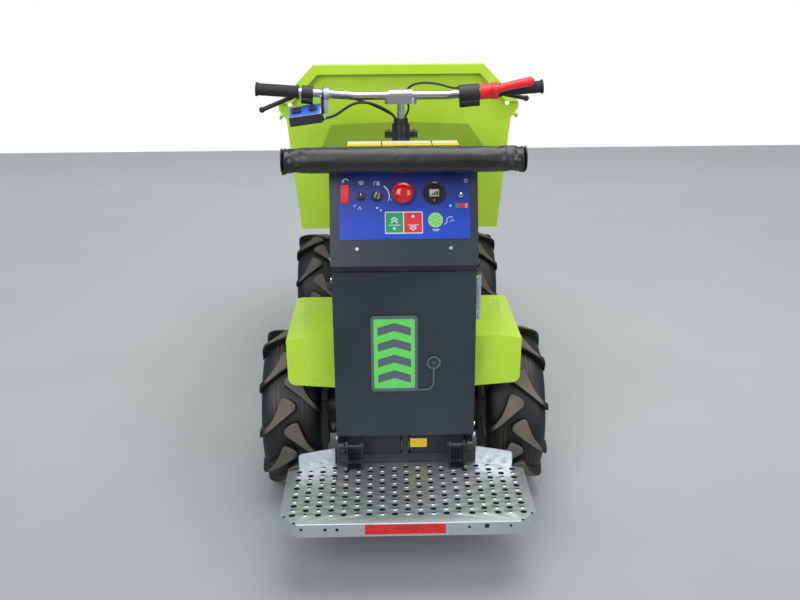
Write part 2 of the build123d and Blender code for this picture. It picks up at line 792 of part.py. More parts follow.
# sleeves on the bar: name, inner x, outer x, radius, end flange radius, lobe drop, lobe radius
sleeves = [
    ("grip_left", -270, -383, GRIP_R, GRIP_END_R, 0, 0),
    ("lever_mount_left", -232, -262, 18, 18, -18, KNOB_BALL_R),
    ("throttle_housing", 155, 208, 23, 23, 22, 14),
    ("throttle_collar", 210, 241, 20, 20, 0, 0),
    ("grip_right", 262, 378, GRIP_R, GRIP_END_R, 0, 0),
]
for name, inner, outer, radius, flange, lobe_drop, lobe_r in sleeves:
    length = abs(outer - inner) * bar_stretch
    with BuildPart() as sleeve:
        with BuildSketch(bar_plane(inner)):
            Circle(radius)
            if lobe_r:
                with Locations((0, -lobe_drop)):
                    Circle(lobe_r)
        extrude(amount=length)
        if flange > radius:
            for start in (0, length - GRIP_FLANGE_W):
                with BuildSketch(bar_plane(inner).offset(start)):
                    Circle(flange)
                extrude(amount=GRIP_FLANGE_W)
        add(bar_bore(inner, outer), mode=Mode.SUBTRACT)
    save(sleeve.part, name)

# red lever clamped inboard of the right grip and reaching back over it: x, offset back, offset up, radius
lever_sections = [(258, -31, 8, 11), (300, -31, 14, 11.5), (345, -32, 19, 13)]
with BuildPart() as throttle_lever:
    with BuildSketch(bar_plane(LEVER_RING_IN)):
        Circle(22)
        with Locations((-26, 6)):
            Circle(13)
    extrude(amount=(LEVER_RING_OUT - LEVER_RING_IN) * bar_stretch)
    for x, back, up, radius in lever_sections:
        with BuildSketch(bar_plane(x)):
            with Locations((back, up)):
                Circle(radius)
    loft()
    tip_x, back, up, radius = lever_sections[-1]
    tip = bar_plane(tip_x)
    with Locations(Location(Plane(origin=tip.from_local_coords((back, up, 0)), z_dir=tip.z_dir))):
        Sphere(radius, arc_size1=0)
    add(bar_bore(LEVER_RING_IN, LEVER_RING_OUT + 1), mode=Mode.SUBTRACT)

save(throttle_lever.part, "throttle_lever")

# brake levers hang ahead of the grips: name, side, root x, mount radius, tip x, tip drop
brake_levers = [
    ("brake_lever_left", -1, 240, 18, 374, -38),
    ("brake_lever_right", 1, 226, 20, 340, -14),
]
for name, sx, root_x, mount_r, tip_x, tip_drop in brake_levers:
    root = bar_plane(sx * root_x).origin + Vector(0, mount_r + LEVER_R - 0.4, 0)
    tip = Vector(sx * tip_x, root.Y + 10, BAR_Z + tip_drop)
    with BuildPart() as brake_lever:
        with BuildLine() as lever_line:
            FilletPolyline(root, root + Vector(sx * 30, 16, -6), tip, radius=40)
        with BuildSketch(Plane(origin=lever_line.line @ 0, z_dir=lever_line.line % 0)):
            Circle(LEVER_R)
        sweep()
        with Locations(Location(Plane(origin=tip, z_dir=lever_line.line % 1))):
            Sphere(LEVER_BALL_R)
    save(brake_lever.part, name)

# switch box: a wedge hung from its own clamp, its top face turned to the driver
lean_up = Vector(-sin(radians(SWITCH_LEAN)), 0, cos(radians(SWITCH_LEAN)))
lean_out = Vector(cos(radians(SWITCH_LEAN)), 0, sin(radians(SWITCH_LEAN)))
lean = Plane(origin=(SWITCH_X, COLUMN_Y - SWITCH_BACK, SWITCH_Z), x_dir=(0, 1, 0), z_dir=lean_out)
face_rise = SWITCH_FRONT_H - SWITCH_REAR_H
ring_w = 18
with BuildPart() as switch_box:
    with BuildSketch(lean.offset(-SWITCH_W / 2)) as switch_outline:
        with BuildLine():
            Polyline(
                (-SWITCH_D / 2, 0), (SWITCH_D / 2, 0), (SWITCH_D / 2, SWITCH_FRONT_H),
                (-SWITCH_D / 2, SWITCH_REAR_H), close=True,
            )
        make_face()
        fillet(switch_outline.vertices(), radius=3)
    extrude(amount=SWITCH_W)
    # cable gland in the right end
    with BuildSketch(lean.offset(SWITCH_W / 2)):
        with Locations((0, GLAND_UP)):
            Circle(GLAND_R)
    extrude(amount=GLAND_L)
    # neck up to the clamp ring
    with BuildSketch(level(SWITCH_Z + SWITCH_REAR_H)):
        with Locations((SWITCH_X + SWITCH_W / 2 + 3, COLUMN_Y)):
            Rectangle(ring_w, ring_w)
    extrude(amount=BAR_Z - SWITCH_Z - SWITCH_REAR_H)
    with BuildSketch(bar_plane(SWITCH_RING_X)):
        Circle(BAR_R + 5)
    extrude(amount=ring_w)
    add(bar_bore(SWITCH_RING_X + 10, SWITCH_RING_X - 30), mode=Mode.SUBTRACT)

save(switch_box.part, "switch_box")

# square and round push buttons on the box's sloping top
key_face = Plane(
    origin=lean.from_local_coords((0, (SWITCH_REAR_H + SWITCH_FRONT_H) / 2, 0)), x_dir=lean_out,
    z_dir=lean_up * SWITCH_D - Vector(0, face_rise, 0),
).offset(REST)
with BuildPart() as switch_keys:
    with BuildSketch(key_face):
        with Locations((-SWITCH_W / 4, 0)):
            RectangleRounded(KEY_SIDE, KEY_SIDE, 3)
        with Locations((SWITCH_W / 4, 0)):
            Circle(KEY_ROUND_R)
    extrude(amount=KEY_H)

save(switch_keys.part, "switch_keys")

# ---------------------------------------------------------------- body
door_pin_x = BODY_W / 2 + DOOR_PIN_OUT
door_pin_y = BODY_REAR_Y - t / 2
with BuildPart() as body_shell:
    with BuildSketch(side(-BODY_W / 2)) as profile:
        with BuildLine():
            Polyline(
                (BODY_REAR_Y + t, BODY_BOTTOM_Z), (BODY_REAR_Y + t, CONSOLE_BOTTOM_Z - CONSOLE_STEP),
                (console_bottom_y, CONSOLE_BOTTOM_Z), (console_top_y, HOOD_Z), (BODY_FRONT_Y, HOOD_Z),
                (BODY_FRONT_Y, BODY_BOTTOM_Z), close=True,
            )
        make_face()
    extrude(amount=BODY_W)
    # bent edges of the console and the front
    outline = body_shell.faces().filter_by(Axis.X).edges()
    front_bends = outline.filter_by(lambda edge: edge.center().Y > BODY_FRONT_Y - 1)
    console_bends = outline.filter_by(lambda edge: edge.center().Y < BODY_REAR_Y)
    fillet(front_bends + console_bends, radius=EDGE_R)
    with BuildSketch(side(-BODY_W / 2 + t)):
        add(profile.sketch_local)
        offset(amount=-t, mode=Mode.REPLACE)
        with Locations(((BODY_REAR_Y + BODY_FRONT_Y) / 2, BODY_BOTTOM_Z)):
            Rectangle(BODY_FRONT_Y - BODY_REAR_Y - 2 * t - 2, BODY_FRAME + EDGE_R)
    extrude(amount=BODY_W - 2 * t, mode=Mode.SUBTRACT)
    # door opening at the back, open lower front for the linkage
    with BuildSketch(across(BODY_REAR_Y - BODY_FRAME)):
        with Locations((0, (BODY_BOTTOM_Z + DOOR_TOP_Z - BODY_FRAME) / 2)):
            Rectangle(BODY_W - 2 * BODY_FRAME, DOOR_TOP_Z - BODY_BOTTOM_Z)
    extrude(amount=-2 * BODY_FRAME, mode=Mode.SUBTRACT)
    with BuildSketch(across(BODY_FRONT_Y + BODY_FRAME)):
        with Locations((0, BODY_BOTTOM_Z + FLOOR_OPENING / 4)):
            Rectangle(BODY_W - 2 * t, FLOOR_OPENING)
    extrude(amount=2 * BODY_FRAME, mode=Mode.SUBTRACT)
    # shelf with the lower column bearing
    with BuildSketch(level(shelf_z)):
        with Locations((0, COLUMN_Y)):
            Rectangle(BODY_W - 1, BEARING_DEPTH)
    extrude(amount=SHELF_T)
    with Locations((0, COLUMN_Y, shelf_z + SHELF_T / 2)):
        Cylinder(COLUMN_R + RUN, 4 * SHELF_T, mode=Mode.SUBTRACT)
    with Locations((0, COLUMN_Y, HOOD_Z)):
        Cylinder(COLUMN_R + COLUMN_HOLE, BODY_FRAME, mode=Mode.SUBTRACT)

save(body_shell.part, "body_shell")

with BuildPart() as hood_top:
    with BuildSketch(level(HOOD_Z + REST)):
        with BuildLine():
            rear = console_top_y + HOOD_REAR_IN
            Polyline(
                (-HOOD_W / 2, rear), (HOOD_W / 2, rear), (HOOD_W / 2, BODY_FRONT_Y),
                (0, BODY_FRONT_Y + HOOD_APEX), (-HOOD_W / 2, BODY_FRONT_Y), close=True,
            )
        make_face()
    extrude(amount=HOOD_T - REST)
    corners = hood_top.edges().filter_by(Axis.Z).filter_by(lambda edge: abs(edge.center().X) > 1)
    fillet(corners, radius=HOOD_CORNER_R)
    with Locations((0, COLUMN_Y, HOOD_Z)):
        Cylinder(COLUMN_R + COLUMN_HOLE, BODY_FRAME, mode=Mode.SUBTRACT)

save(hood_top.part, "hood_top")

bearing_z = HOOD_Z + HOOD_T + REST
with BuildPart() as column_bearing:
    with BuildSketch(level(bearing_z)):
        with Locations((0, COLUMN_Y)):
            RectangleRounded(BEARING_W, BEARING_D, HOOD_CORNER_R)
    extrude(amount=BEARING_FLANGE_T)
    with BuildSketch(level(bearing_z)):
        with Locations((0, COLUMN_Y)):
            Circle(COLUMN_BOSS_R + 4)
            Rectangle(BEARING_W / 2, BEARING_D / 2)
    extrude(amount=BEARING_H)
    with Locations((0, COLUMN_Y, bearing_z)):
        Cylinder(COLUMN_R + RUN, 4 * BEARING_H, mode=Mode.SUBTRACT)

save(column_bearing.part, "column_bearing")

# rubber boot that turns with the column, just above the bearing
boot_z = bearing_z + BEARING_H + REST
with BuildPart() as cable_boot:
    with BuildSketch(level(boot_z)):
        with Locations((0, COLUMN_Y)):
            Circle(BOOT_R)
            Circle(COLUMN_R + RUN, mode=Mode.SUBTRACT)
    extrude(amount=BOOT_H)

save(cable_boot.part, "cable_boot")

# console face: sketch x is +X, sketch y runs up the slope from its lower edge
console_face = Plane(
    origin=(0, console_bottom_y, CONSOLE_BOTTOM_Z), x_dir=(1, 0, 0), z_dir=(0, -1, CONSOLE_SLOPE),
)
with BuildPart() as fascia:
    with BuildSketch(console_face.offset(REST)):
        with Locations((FASCIA_X, FASCIA_UP)):
            RectangleRounded(FASCIA_W, FASCIA_H, EDGE_R)
    extrude(amount=FASCIA_T)

save(fascia.part, "fascia")

face_out = console_face.offset(REST + FASCIA_T + REST)


def turned(x, up, outline):
    """Knob or button turned about an axis square to the console; outline holds radius, height."""
    foot = face_out.from_local_coords((x, up, 0))
    section = Plane(origin=foot, x_dir=(1, 0, 0), z_dir=(face_out.z_dir.cross(Vector(1, 0, 0))) * -1)
    with BuildPart() as control:
        with BuildSketch(section):
            with BuildLine():
                Polyline((0, 0), (outline[0][0], 0), *outline, (0, outline[-1][1]), close=True)
            make_face()
        revolve(axis=Axis(foot, face_out.z_dir))
    return control.part


# controls on the fascia: name, x, up the slope, then radius and height along the outline
controls = [
    ("stop_button", STOP_X, CONTROLS_UP, [(STOP_R - 7, 12), (STOP_R, 15), (STOP_R, 25), (STOP_R - 9, 32)]),
    ("gauge", GAUGE_X, CONTROLS_UP, [(GAUGE_R, 8), (GAUGE_R - 3, 11), (GAUGE_R - 6, 11), (GAUGE_R - 7, 8)]),
    ("key_switch", KEY_X, SMALL_UP, [(KEY_R, 5), (KEY_R - 3, 7)]),
    ("knob", KNOB_X, SMALL_UP, [(KNOB_R + 3, 3), (KNOB_R, 4), (KNOB_R - 1, 14)]),
    ("indicator", INDICATOR_X, SMALL_UP, [(INDICATOR_R, 4), (INDICATOR_R - 2, 8), (INDICATOR_R - 5, 10)]),
]
for name, x, up, outline in controls:
    with BuildPart() as control:
        add(turned(x, up, outline))
        if name == "key_switch":
            with BuildSketch(face_out):
                with Locations((x, up)):
                    Rectangle(KEY_R / 3, KEY_R * 1.3, rotation=-20)
            extrude(amount=KEY_R * 1.6)
    save(control.part, name)

with BuildPart() as rocker_switch:
    with BuildSketch(face_out):
        with Locations((ROCKER_X, CONTROLS_UP)):
            RectangleRounded(ROCKER_W, ROCKER_H, 2)
    extrude(amount=ROCKER_OUT / 2)
    # rocker pressed in at its top
    mid = face_out.from_local_coords((0, CONTROLS_UP, 0))
    along = face_out.y_dir * (ROCKER_H / 2 - 3)
    out = face_out.z_dir * ROCKER_OUT
    outline = [mid - along, mid - along + out * 1.6, mid + out, mid + along + out * 0.8, mid + along]
    with BuildSketch(side(ROCKER_X - ROCKER_W / 2 + 2)):
        with BuildLine():
            Polyline(*[(corner.Y, corner.Z) for corner in outline], close=True)
        make_face()
    extrude(amount=ROCKER_W - 4)

save(rocker_switch.part, "rocker_switch")

# padded bar across the console's top, on two flat arms
pad_y = console_bottom_y + (PAD_Z - CONSOLE_BOTTOM_Z) * CONSOLE_SLOPE - PAD_STANDOFF
arm_z = PAD_Z - PAD_ARM_T / 2
arm_end_y = console_bottom_y + (arm_z - CONSOLE_BOTTOM_Z) * CONSOLE_SLOPE - REST
tube_end = PAD_L / 2 - PAD_TUBE_IN
with BuildPart() as pad_bar:
    with BuildSketch(side(-tube_end)):
        with Locations((pad_y, PAD_Z)):
            Circle(PAD_TUBE_R)
    extrude(amount=2 * tube_end)
    with BuildSketch(level(arm_z)):
        with Locations((-PAD_ARM_X, (pad_y + arm_end_y) / 2), (PAD_ARM_X, (pad_y + arm_end_y) / 2)):
            Rectangle(PAD_ARM_W, arm_end_y - pad_y)
    extrude(amount=PAD_ARM_T)

save(pad_bar.part, "pad_bar")

with BuildPart() as bump_pad:
    with BuildSketch(side(-PAD_L / 2)):
        with Locations((pad_y, PAD_Z)):
            Circle(PAD_R)
    extrude(amount=PAD_L)
    with BuildSketch(side(-tube_end - REST)):
        with Locations((pad_y, PAD_Z)):
            Circle(PAD_TUBE_R + REST)
    extrude(amount=2 * tube_end + 2 * REST, mode=Mode.SUBTRACT)
    with BuildSketch(level(arm_z - REST)):
        with Locations((-PAD_ARM_X, pad_y + PAD_R), (PAD_ARM_X, pad_y + PAD_R)):
            Rectangle(PAD_ARM_W + 2 * REST, 2 * PAD_R)
    extrude(amount=PAD_ARM_T + 2 * REST, mode=Mode.SUBTRACT)

save(bump_pad.part, "bump_pad")

# door hinged on its left edge: eyes on the door, pins and their brackets on the body
eye_lows = (BODY_BOTTOM_Z + DOOR_EYE_LOW, DOOR_TOP_Z - DOOR_EYE_TOP)
with BuildPart() as rear_door:
    with BuildSketch(across(BODY_REAR_Y - REST)):
        with Locations((0, (BODY_BOTTOM_Z + DOOR_TOP_Z) / 2)):
            Rectangle(BODY_W, DOOR_TOP_Z - BODY_BOTTOM_Z)
    extrude(amount=t)
    for low in eye_lows:
        with BuildSketch(level(low)):
            with Locations((-door_pin_x, door_pin_y)):
                Circle(DOOR_EYE_R)
            with Locations((-door_pin_x + DOOR_EYE_R, door_pin_y)):
                Rectangle(2 * DOOR_EYE_R, DOOR_EYE_R - 1)
        extrude(amount=DOOR_EYE_H)
        with BuildSketch(level(low)):
            with Locations((-door_pin_x, door_pin_y)):
                Circle(DOOR_PIN_R + RUN)
        extrude(amount=DOOR_EYE_H, mode=Mode.SUBTRACT)

save(rear_door.part, "rear_door")

plate_in = DOOR_PIN_OUT - REST
with BuildPart() as door_pins:
    for low in eye_lows:
        with BuildSketch(level(low - 1)):
            with Locations((-door_pin_x, door_pin_y)):
                Circle(DOOR_PIN_R)
        extrude(amount=DOOR_EYE_H + 2)
        with BuildSketch(level(low - 5)):
            with Locations((-door_pin_x, door_pin_y)):
                Circle(DOOR_PIN_R + 2)
            with Locations((-door_pin_x, door_pin_y + 9)):
                Rectangle(2 * DOOR_PIN_R + 4, 18)
            with Locations((-door_pin_x + plate_in / 2, door_pin_y + 11)):
                Rectangle(plate_in, 14)
        extrude(amount=4)

save(door_pins.part, "door_pins")

# pull latch on the body's right side
latch_mid_y = BODY_REAR_Y + LATCH_W / 2 + EDGE_R + DOOR_EYE_R
with BuildPart() as latch:
    with BuildSketch(side(BODY_W / 2 + REST)):
        with Locations((latch_mid_y, LATCH_Z)):
            RectangleRounded(LATCH_W, LATCH_L, EDGE_R)
    extrude(amount=t)
    for z in (LATCH_Z - LATCH_L / 3, LATCH_Z + LATCH_L / 3):
        with BuildSketch(side(BODY_W / 2 + REST + t)):
            with Locations((latch_mid_y, z)):
                Rectangle(LATCH_W / 2, 2 * LATCH_BAR_R)
        extrude(amount=LATCH_BAR_OUT)
    with BuildSketch(level(LATCH_Z - LATCH_L / 2)):
        with Locations((BODY_W / 2 + t + LATCH_BAR_OUT, latch_mid_y)):
            Circle(LATCH_BAR_R)
    extrude(amount=LATCH_L)

save(latch.part, "latch")

# batteries behind the door, each with a lid and two terminals
battery_x = post_x - POST_W / 2 - BATTERY_GAP - BATTERY_W / 2
battery_y = tray_rear_y + BATTERY_REAR_GAP + BATTERY_D / 2
with BuildPart() as batteries:
    for x in (-battery_x, battery_x):
        with BuildSketch(level(TRAY_Z + SILL_H + REST)):
            with Locations((x, battery_y)):
                RectangleRounded(BATTERY_W, BATTERY_D, EDGE_R)
        extrude(amount=BATTERY_H - BATTERY_LID)
        with BuildSketch(level(TRAY_Z + SILL_H + REST + BATTERY_H - BATTERY_LID)):
            with Locations((x, battery_y)):
                Rectangle(BATTERY_W - 2 * t, BATTERY_D - 2 * t)
        extrude(amount=BATTERY_LID)
        with BuildSketch(level(TRAY_Z + SILL_H + REST + BATTERY_H)):
            with Locations(*[(x + dx, battery_y - BATTERY_D / 4) for dx in (-BATTERY_W / 3, BATTERY_W / 3)]):
                Circle(TERMINAL_R)
        extrude(amount=TERMINAL_R)

save(batteries.part, "batteries")

# ---------------------------------------------------------------- fenders
fender_in_x = BODY_W / 2 + REST


def fender_block(sx, inset):
    """Solid under the folded sheet, drawn in by the sheet's thickness when inset is given."""
    nose_slope = FENDER_NOSE / (FENDER_TOP_Z - FENDER_LOW_Z)
    nose_in = inset * (hypot(1, nose_slope) - nose_slope)
    with BuildPart() as block:
        with BuildSketch(side(sx * (fender_in_x - 5 * inset))):
            with BuildLine():
                Polyline(
                    (FENDER_REAR_Y + inset, FENDER_LOW_Z - inset),
                    (FENDER_REAR_Y + inset, FENDER_TOP_Z - inset),
                    (FENDER_FLAT_Y - nose_in, FENDER_TOP_Z - inset),
                    (FENDER_FLAT_Y + FENDER_NOSE - nose_in, FENDER_LOW_Z - inset), close=True,
                )
            make_face()
        extrude(amount=sx * (FENDER_OUT_X - fender_in_x + 10 * inset))
        # folds: the top falls outward, the rear turns forward below its diagonal
        top_fold = Plane(
            origin=(sx * FENDER_CREASE_X, FENDER_REAR_Y, FENDER_TOP_Z),
            x_dir=(sx * FENDER_CREASE_OUT, FENDER_FLAT_Y - FENDER_REAR_Y, 0),
            z_dir=Vector(sx * FENDER_CREASE_OUT, FENDER_FLAT_Y - FENDER_REAR_Y, 0).cross(
                Vector(sx * (FENDER_OUT_X - FENDER_CREASE_X), 0, -FENDER_FALL)) * -sx,
        )
        rear_fold = Plane(
            origin=(sx * FENDER_CREASE_X, FENDER_REAR_Y, FENDER_TOP_Z),
            z_dir=Vector(sx * (fender_in_x - FENDER_CREASE_X), 0, FENDER_LOW_Z - FENDER_TOP_Z).cross(
                Vector(sx * (FENDER_OUT_X - FENDER_CREASE_X), FENDER_TURN, FENDER_LOW_Z - FENDER_TOP_Z)) * sx,
        )
        for fold in (top_fold, rear_fold):
            up = fold if fold.z_dir.Z > 0 or fold.z_dir.Y < -0.5 else -fold
            split(bisect_by=up.offset(-inset), keep=Keep.BOTTOM)
    return block.part


for name, sx in (("fender_left", -1), ("fender_right", 1)):
    with BuildPart() as fender:
        add(fender_block(sx, 0))
        add(fender_block(sx, t), mode=Mode.SUBTRACT)
        # rounded lower outer corners
        with BuildSketch(across(FENDER_REAR_Y - 1)) as rear_view:
            with Locations((sx * (fender_in_x + FENDER_OUT_X) / 2, (FENDER_LOW_Z + FENDER_TOP_Z) / 2)):
                Rectangle(FENDER_OUT_X - fender_in_x, FENDER_TOP_Z - FENDER_LOW_Z)
            lower = rear_view.vertices().sort_by(Axis.Y)[:2]
            fillet(lower.filter_by(lambda corner: abs(corner.X) > FENDER_OUT_X - 1), radius=FENDER_CORNER_R)
        extrude(amount=FENDER_REAR_Y - FENDER_FLAT_Y - FENDER_NOSE - 2, mode=Mode.INTERSECT)
        # drain holes near the front of the top
        drains = [
            (FENDER_CREASE_X + 18 - 12 * row - 3 * k, -50 - 30 * k) for row in range(2) for k in range(4)
        ]
        with BuildSketch(level(FENDER_TOP_Z - 4 * t)):
            with Locations(*[(sx * out, FENDER_FLAT_Y + back) for out, back in drains]):
                RegularPolygon(FENDER_HOLE_R, 6)
        extrude(amount=8 * t, mode=Mode.SUBTRACT)
    save(fender.part, name)

# ---------------------------------------------------------------- platform
deck_front_y = deck_hinge_y + DECK_AHEAD
deck_rear_y = deck_front_y - DECK_L
deck_x = DECK_W / 2


def deck_outline(inset):
    """Outline of the folded tray, its front edge falling back beside the tyres."""
    with BuildSketch() as outline:
        with BuildLine():
            Polyline(
                (-DECK_SHOULDER_X, deck_front_y), (-deck_x, deck_front_y - DECK_SHOULDER),
                (-deck_x, deck_rear_y + DECK_CUT), (-deck_x + DECK_CUT, deck_rear_y),
                (deck_x - DECK_CUT, deck_rear_y), (deck_x, deck_rear_y + DECK_CUT),
                (deck_x, deck_front_y - DECK_SHOULDER), (DECK_SHOULDER_X, deck_front_y), close=True,
            )
        make_face()
        if inset:
            offset(amount=-inset, mode=Mode.REPLACE)
    return outline.sketch


# every other place of the grid is a hole
hole_area = deck_outline(HOLE_MARGIN).face()
hole_places = []
for i in range(HOLE_COLUMNS):
    for j in range(i % 2, HOLE_ROWS, 2):
        place = ((i - (HOLE_COLUMNS - 1) / 2) * HOLE_PITCH_X, deck_rear_y + HOLE_REAR + j * HOLE_PITCH_Y)
        if hole_area.is_inside(Vector(*place, 0)):
            hole_places.append(place)

# upright guards on the slanting front edges, and the hinge's U brackets, their feet let into the sheet
foot_z = DECK_Z - DECK_T
shoulder_dir = Vector(deck_x - DECK_SHOULDER_X, -DECK_SHOULDER, 0).normalized()
with BuildPart() as deck_fittings:
    for sx in (-1, 1):
        along = Vector(sx * shoulder_dir.X, shoulder_dir.Y, 0)
        inward = Vector(sx * along.Y, -sx * along.X, 0)
        guard_start = Vector(sx * DECK_SHOULDER_X, deck_front_y, foot_z) + along * GUARD_IN + inward * t
        guard_plane = Plane(origin=guard_start, x_dir=along * sx, z_dir=inward)
        ends = (0, sx * GUARD_L)
        guard_top = GUARD_H + DECK_T
        with BuildSketch(guard_plane):
            with BuildLine():
                FilletPolyline(
                    (ends[0], 0), (ends[0], guard_top), (ends[1], guard_top), (ends[1], 0), radius=GUARD_R,
                )
                Line((ends[1], 0), (ends[0], 0))
            make_face()
        extrude(amount=t)
        # U bracket: two upright plates on one foot
        plate_xs = (HINGE_OUT - HINGE_PLATE_T, HINGE_OUT - 2 * HINGE_PLATE_T - HINGE_PLATE_GAP)
        for x in plate_xs:
            with BuildSketch(side(sx * x)):
                with Locations((deck_hinge_y, (foot_z + DECK_HINGE_Z) / 2)):
                    Rectangle(HINGE_PLATE_W, DECK_HINGE_Z - foot_z)
                with Locations((deck_hinge_y, DECK_HINGE_Z)):
                    Circle(HINGE_PLATE_W / 2)
            extrude(amount=sx * HINGE_PLATE_T)
        with BuildSketch(level(foot_z)):
            with Locations((sx * (plate_xs[0] + plate_xs[1] + HINGE_PLATE_T) / 2, deck_hinge_y)):
                Rectangle(HINGE_PLATE_GAP + 2 * HINGE_PLATE_T, HINGE_PLATE_W)
        extrude(amount=DECK_T + HINGE_PLATE_T)
        with BuildSketch(side(sx * (plate_xs[1] - 1))):
            with Locations((deck_hinge_y, DECK_HINGE_Z)):
                Circle(PIN_R + RUN)
        extrude(amount=sx * 2 * HINGE_PLATE_GAP, mode=Mode.SUBTRACT)

save(deck_fittings.part, "deck_fittings")

with BuildPart() as deck:
    with BuildSketch(level(DECK_Z - DECK_FLANGE)):
        add(deck_outline(0))
    extrude(amount=DECK_FLANGE)
    with BuildSketch(level(DECK_Z - DECK_FLANGE)):
        add(deck_outline(DECK_T))
    extrude(amount=DECK_FLANGE - DECK_T, mode=Mode.SUBTRACT)
    with BuildSketch(level(DECK_Z - DECK_T)):
        with Locations(*hole_places):
            RegularPolygon(HOLE_R, 8, rotation=22.5)
    extrude(amount=DECK_T, mode=Mode.SUBTRACT)
    add(deck_fittings.part, mode=Mode.SUBTRACT)
    # relief notches in the flange under the bent corners
    for sx in (-1, 1):
        for x, y in ((deck_x, deck_rear_y + DECK_CUT), (deck_x - DECK_CUT, deck_rear_y)):
            with BuildSketch(level(DECK_Z - DECK_FLANGE)):
                with Locations((sx * x, y)):
                    Circle(DECK_T * 1.5)
            extrude(amount=DECK_FLANGE / 3, mode=Mode.SUBTRACT)

save(deck.part, "deck")

hinge_arm = tray_rear_y - REST - deck_hinge_y
pin_tip = plate_xs[1] - HINGE_PIN_OVER
with BuildPart() as deck_hinge:
    for sx in (-1, 1):
        with BuildSketch(side(sx * (post_x - POST_W / 2))):
            with Locations((deck_hinge_y, DECK_HINGE_Z)):
                Circle(2 * PIN_R)
            with Locations((deck_hinge_y + hinge_arm / 2, DECK_HINGE_Z)):
                Rectangle(hinge_arm, 4 * PIN_R)
        extrude(amount=sx * POST_W)
        with BuildSketch(side(sx * (post_x - POST_W / 2))):
            with Locations((deck_hinge_y, DECK_HINGE_Z)):
                Circle(PIN_R)
        extrude(amount=-sx * (post_x - POST_W / 2 - pin_tip))

save(deck_hinge.part, "deck_hinge")

# ---------------------------------------------------------------- skip
spout_run = (SKIP_LIP_Y - SKIP_FLOOR_FRONT_Y) / (SKIP_LIP_Z - SKIP_FLOOR_Z)
spout_top_y = SKIP_FLOOR_FRONT_Y + spout_run * (SKIP_RIM_Z - SKIP_FLOOR_Z)
wall_lean = SKIP_REAR_LEAN / (SKIP_GUARD_Z - SKIP_FLOOR_Z)
rear_top_y = SKIP_REAR_Y - wall_lean * (SKIP_RIM_Z - SKIP_FLOOR_Z)
rim_fall = (SKIP_RIM_Z - SKIP_LIP_Z) / (SKIP_LIP_Y - rear_top_y - SKIP_RIM_LEVEL)


def tub(shrink, floor_z, top_z):
    """Solid tub with flat walls, shrunk by a wall thickness on every side."""
    floor_mid = (SKIP_REAR_Y + SKIP_FLOOR_FRONT_Y) / 2
    with BuildPart() as body:
        with BuildSketch(level(floor_z)):
            with Locations((0, floor_mid)):
                Rectangle(SKIP_FLOOR_W - 2 * shrink, SKIP_FLOOR_FRONT_Y - SKIP_REAR_Y - 2 * shrink)
        with BuildSketch(level(top_z)):
            with Locations((0, (rear_top_y + spout_top_y) / 2)):
                Rectangle(SKIP_RIM_W - 2 * shrink, spout_top_y - rear_top_y - 2 * shrink)
        loft()
    return body.part


def under_rim(depth):
    """Layer of this depth under the plane of the rim, which falls towards the spout."""
    far_y = SKIP_LIP_Y + 2 * SKIP_FLANGE
    far_z = SKIP_RIM_Z - rim_fall * (far_y - rear_top_y - SKIP_RIM_LEVEL)
    near_y = rear_top_y - 2 * SKIP_FLANGE
    with BuildPart() as layer:
        with BuildSketch(side(-SKIP_RIM_W)):
            with BuildLine():
                Polyline(
                    (near_y, SKIP_RIM_Z), (rear_top_y + SKIP_RIM_LEVEL, SKIP_RIM_Z), (far_y, far_z),
                    (far_y, far_z - depth), (rear_top_y + SKIP_RIM_LEVEL, SKIP_RIM_Z - depth),
                    (near_y, SKIP_RIM_Z - depth), close=True,
                )
            make_face()
        extrude(amount=2 * SKIP_RIM_W)
    return layer.part


# rear wall plane: sketch x is +X, sketch y runs up the leaning wall, its normal faces the driver
wall_plane = Plane(
    origin=(0, SKIP_REAR_Y, SKIP_FLOOR_Z), x_dir=(1, 0, 0),
    z_dir=(0, -(SKIP_GUARD_Z - SKIP_FLOOR_Z), -SKIP_REAR_LEAN),
)

# folded flange round the sides and the spout, with its edge turned down
with BuildPart() as rim_flange:
    add(tub(-SKIP_FLANGE, SKIP_FLOOR_Z, SKIP_RIM_Z))
    add(under_rim(t), mode=Mode.INTERSECT)
with BuildPart() as rim_edge:
    add(tub(-SKIP_FLANGE, SKIP_FLOOR_Z, SKIP_RIM_Z))
    add(tub(t - SKIP_FLANGE, SKIP_FLOOR_Z, SKIP_RIM_Z), mode=Mode.SUBTRACT)
    add(under_rim(SKIP_FLANGE_LIP), mode=Mode.INTERSECT)

with BuildPart() as skip:
    add(tub(0, SKIP_FLOOR_Z, SKIP_RIM_Z))
    add(under_rim(SKIP_RIM_Z), mode=Mode.INTERSECT)
    add(rim_flange.part)
    add(rim_edge.part)
    add(tub(t, SKIP_FLOOR_Z + t, SKIP_RIM_Z + t), mode=Mode.SUBTRACT)
    split(bisect_by=wall_plane, keep=Keep.BOTTOM)

save(skip.part, "skip")

# rear wall's guard plate: reaches from the floor past the rim, with ears and a folded top
wall_len = hypot(SKIP_GUARD_Z - SKIP_FLOOR_Z, SKIP_REAR_LEAN)
rim_up = wall_len * (SKIP_RIM_Z - SKIP_FLOOR_Z) / (SKIP_GUARD_Z - SKIP_FLOOR_Z)
ear_top = rim_up + EAR_HIGH
cap_slope = (SKIP_EAR_W - SKIP_GUARD_W) / 2 / (wall_len - ear_top)


